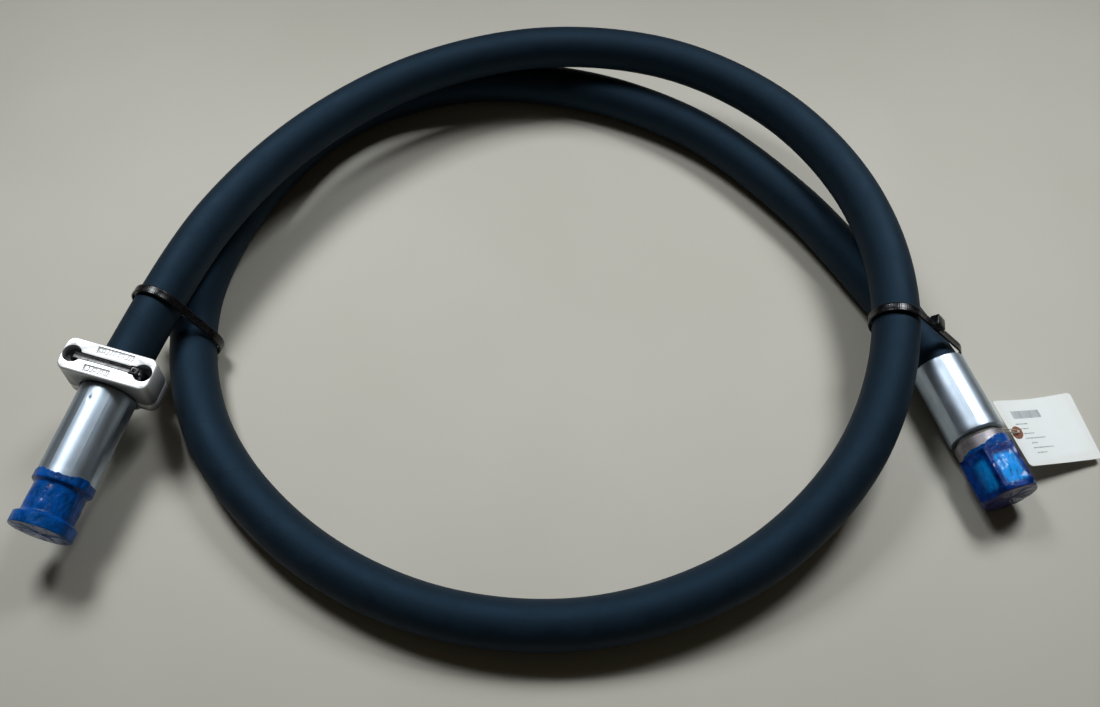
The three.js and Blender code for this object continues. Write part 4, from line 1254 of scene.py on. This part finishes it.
def add_tag():
    across, along = 48, 54
    points, faces = [], []
    for layer in (0, 1):
        for i in range(along + 1):
            for j in range(across + 1):
                x = TAG_LENGTH * i / along
                y = TAG_WIDTH * (j / across - 0.5)
                x, y = tag_outline_clip(x, y)
                points.append(tag_place(x, y, layer * TAG_THICKNESS))
    size = (along + 1) * (across + 1)
    rim = {}
    eye = Vector(tag_place(TAG_HOLE_X, 0)).xy

    def grid(i, j):
        return i * (across + 1) + j

    for i in range(along):
        for j in range(across):
            quad = [grid(i, j), grid(i + 1, j), grid(i + 1, j + 1), grid(i, j + 1)]
            middle = sum((Vector(points[q]).xy for q in quad), Vector((0, 0))) / 4
            if (middle - eye).length < TAG_HOLE + 0.4:
                continue
            faces.append(tuple(quad[::-1]))
            faces.append(tuple(q + size for q in quad))
            for a, b in zip(quad, quad[1:] + quad[:1]):
                key = (min(a, b), max(a, b))
                rim[key] = rim.get(key, 0) + 1
    faces += [(a, b, b + size, a + size) for (a, b), uses in rim.items() if uses == 1]
    tag = make_piece("tag", points, faces, TAG, sharp=50)
    local = TAG.inverted()

    def near_edge(point):
        x, y, _ = local @ point
        inward = min(x, TAG_LENGTH - x, TAG_WIDTH / 2 - abs(y))
        return 1 - smoothstep(0.0, 5.0, inward)

    set_point_values(tag, "edge", near_edge)
    settle(tag, "tag", "tag_card", "label_tag")


def printed_strip(x, y, length, height, steps=5):
    """A thin printed mark that follows the card's upper face."""
    points = []
    for layer in (0.02, 0.06):
        for k in range(steps + 1):
            for side in (-0.5, 0.5):
                px, py = x + length * k / steps, y + height * side
                points.append(tag_place(px, py, TAG_THICKNESS + layer))
    count = 2 * (steps + 1)
    faces = []
    for k in range(steps):
        a = 2 * k
        faces += [(a + count, a + 2 + count, a + 3 + count, a + 1 + count), (a, a + 1, a + 3, a + 2),
                  (a, a + 2, a + 2 + count, a + count), (a + 1, a + 1 + count, a + 3 + count, a + 3)]
    last = 2 * steps
    faces += [(0, count, count + 1, 1), (last, last + 1, last + 1 + count, last + count)]
    return make_piece("mark", points, faces, TAG)


def add_tag_print():
    """Blank marks in place of any lettering: a block of upright bars and rows of short dashes."""
    draw = random.Random(11)
    marks = []
    x = 11.0
    while x < 36.0:
        width = draw.choice((0.5, 0.8, 1.3))
        marks.append(printed_strip(x, 16.0, width, 7.0, 1))
        x += width + draw.choice((0.35, 0.5, 0.8))
    for row, (start, length) in enumerate(((9, 11), (10, 8), (12, 9), (11, 18), (14, 5), (13, 19), (14, 9))):
        x = start
        while x < start + length:
            dash = draw.uniform(1.2, 3.4)
            marks.append(printed_strip(x, 7.5 - 4.4 * row, min(dash, start + length - x), 0.85, 2))
            x += dash + 0.7
    settle(joined("tag_print", marks), "tag", "tag_card", material="print_ink")


def add_eyelet():
    """A worn fibre washer on each face of the card, joined through its hole."""
    low, high = -CLEARANCE / 2, TAG_THICKNESS + CLEARANCE / 2
    hub = TAG_HOLE - CLEARANCE / 2
    outline = divided(softened(outline_of(
        (hub - 0.9, low - 0.5), (5.5, low - 0.5), (5.5, low), (hub, low), (hub, high), (5.5, high),
        (5.5, high + 0.5), (hub - 0.9, high + 0.5)), 0.2, 2), 0.8)
    slope_x = (tag_lift(7, 0) - tag_lift(5, 0)) / 2
    slope_y = (tag_lift(6, 1) - tag_lift(6, -1)) / 2
    tilt = Vector((-slope_x, -slope_y, 1)).normalized()
    level = Vector((0, 0, 1)).rotation_difference(tilt).to_matrix().to_4x4()
    place = (TAG @ Matrix.Translation(tag_place(TAG_HOLE_X, 0)) @ level
             @ Matrix.Rotation(math.pi / 2, 4, "X") @ Matrix.Scale(-1, 4, (0, 1, 0)))

    def frayed(angle, radius, station):
        if radius < 3:
            return radius, station
        return radius + 0.35 * noise.noise(Vector((math.cos(angle) * 3, math.sin(angle) * 3, 1.5))), station

    piece = lathe("eyelet", outline, place, segments=72, shape=frayed)
    settle(piece, "tag", "eyelet_fibre", "tag_eyelet")
    return place


def add_string():
    """Two-ply string: once round the insert's neck and both ends knotted on the eyelet."""
    loop_radius = INSERT_SHOULDER + 0.9 + 0.6
    middle = SWIVEL_FERRULE + 1.75
    knot = TAG @ Vector(tag_place(TAG_HOLE_X, 0, TAG_THICKNESS + 1.4))
    spread = (TAG @ Vector((TAG_HOLE_X, 1.2, 0))) - (TAG @ Vector((TAG_HOLE_X, 0, 0)))
    points = [knot + spread]
    for i in range(25):
        angle = math.radians(150 + 360 * i / 24)
        points.append(SWIVEL_END @ Vector((loop_radius * math.cos(angle), middle + 1.7 * (i / 24 - 0.5),
                                           loop_radius * math.sin(angle))))
    points.append(knot - spread)
    line, _ = evenly(centripetal(points, 12), 0.0004)
    plies = []
    for ply in range(2):
        rings = []
        for i, point in enumerate(line):
            tangent = (line[min(i + 1, len(line) - 1)] - line[max(i - 1, 0)]).normalized()
            reference = Vector((0.2, 0.3, 0.93))
            side = (reference - tangent * reference.dot(tangent)).normalized()
            across = tangent.cross(side)
            phase = i * 0.0004 / 0.0026 * TAU + ply * math.pi
            centre = point + 0.00027 * (side * math.cos(phase) + across * math.sin(phase))
            rings.append([(centre + 0.00032 * (side * math.cos(a) + across * math.sin(a))) / MM
                          for a in (k * TAU / 8 for k in range(8))])
        plies.append(sweep("ply", rings, None))
    knots = [rounded_box("knot", (2.6, 2.0, 1.7), TAG @ Matrix.Translation(
        tag_place(TAG_HOLE_X, 0, TAG_THICKNESS + 1.5)) @ Matrix.Rotation(0.5, 4, "Z"), 0.7)]
    settle(joined("string", plies + knots), "tag", "cotton_string", "tag_string")


# ---------------------------------------------------------------------------------- floor and light
def add_floor():
    mesh = bpy.data.meshes.new("floor")
    reach = 4.0
    level = -0.0003
    corners = [(-reach, -reach, level), (reach, -reach, level), (reach, reach, level), (-reach, reach, level)]
    mesh.from_pydata(corners, [], [(0, 1, 2, 3)])
    floor = new_object("floor", mesh)
    m = Nodes("floor", (0.50, 0.48, 0.42), 0.75)
    cloud = m.noise(m.place(), 0.004, 3, 0.5)
    fibre = m.noise(m.place(), 0.35, 5, 0.7)
    color = m.mix(m.ramp(cloud, 0.3, 0.7, 0, 1), (0.50, 0.475, 0.41), (0.53, 0.51, 0.45))
    mesh.materials.append(m.finish(color, None, fibre, 0.1, 0.4))


def add_area_light(name, place, aim, size, power, color, spread=180):
    data = bpy.data.lights.new(name, "AREA")
    data.shape = "RECTANGLE"
    data.size, data.size_y = size
    data.energy = power
    data.color = color
    data.spread = math.radians(spread)
    light = bpy.data.objects.new(name, data)
    direction = Vector(aim) - Vector(place)
    light.matrix_world = Matrix.Translation(place) @ direction.to_track_quat("-Z", "Y").to_matrix().to_4x4()
    bpy.context.scene.collection.objects.link(light)


def add_lights():
    add_area_light("left", (-0.75, 0.85, 1.6), (-0.42, -0.02, 0), (0.6, 0.6), 3.4, (0.93, 0.97, 1.0), 60)
    add_area_light("right", (0.80, 0.95, 1.6), (0.42, -0.02, 0), (0.6, 0.6), 3.6, (0.93, 0.97, 1.0), 60)
    add_area_light("overhead", (0.0, 0.75, 2.0), (0, 0, 0), (1.4, 0.6), 1, (0.95, 0.98, 1.0))
    world = bpy.data.worlds.new("room")
    world.use_nodes = True
    background = world.node_tree.nodes["Background"]
    background.inputs["Color"].default_value = (0.62, 0.54, 0.38, 1)
    background.inputs["Strength"].default_value = 0.05
    bpy.context.scene.world = world
    bpy.context.scene.view_settings.view_transform = "Standard"


# ------------------------------------------------------------------------------------------- build
hose = add_hose()
flange_ferrule = add_ferrule("flange_ferrule", "flange_end_ferrule", FLANGE_END, FLANGE_FERRULE,
                             ((math.radians(88), 14.0, 1.6),))
add_flange_insert()
add_flange_neck_film()
add_flange_protection()
swivel_ferrule = add_ferrule("swivel_ferrule", "swivel_end_ferrule", SWIVEL_END, SWIVEL_FERRULE)
swivel_insert = add_swivel_insert()
nut = add_nut()
add_collar_film()
add_swivel_protection()
add_clamp_upper_half()
add_clamp_marks()
add_clamp_lower_half()
add_clamp_tie()
add_large_tie("left_tie", "left_cable_tie", 0.149, 0.3, -1, 0)
add_large_tie("right_tie", "right_cable_tie", 1.109, 0.35, -1, 5)
add_tag()
add_tag_print()
add_eyelet()
add_string()
add_floor()
add_lights()
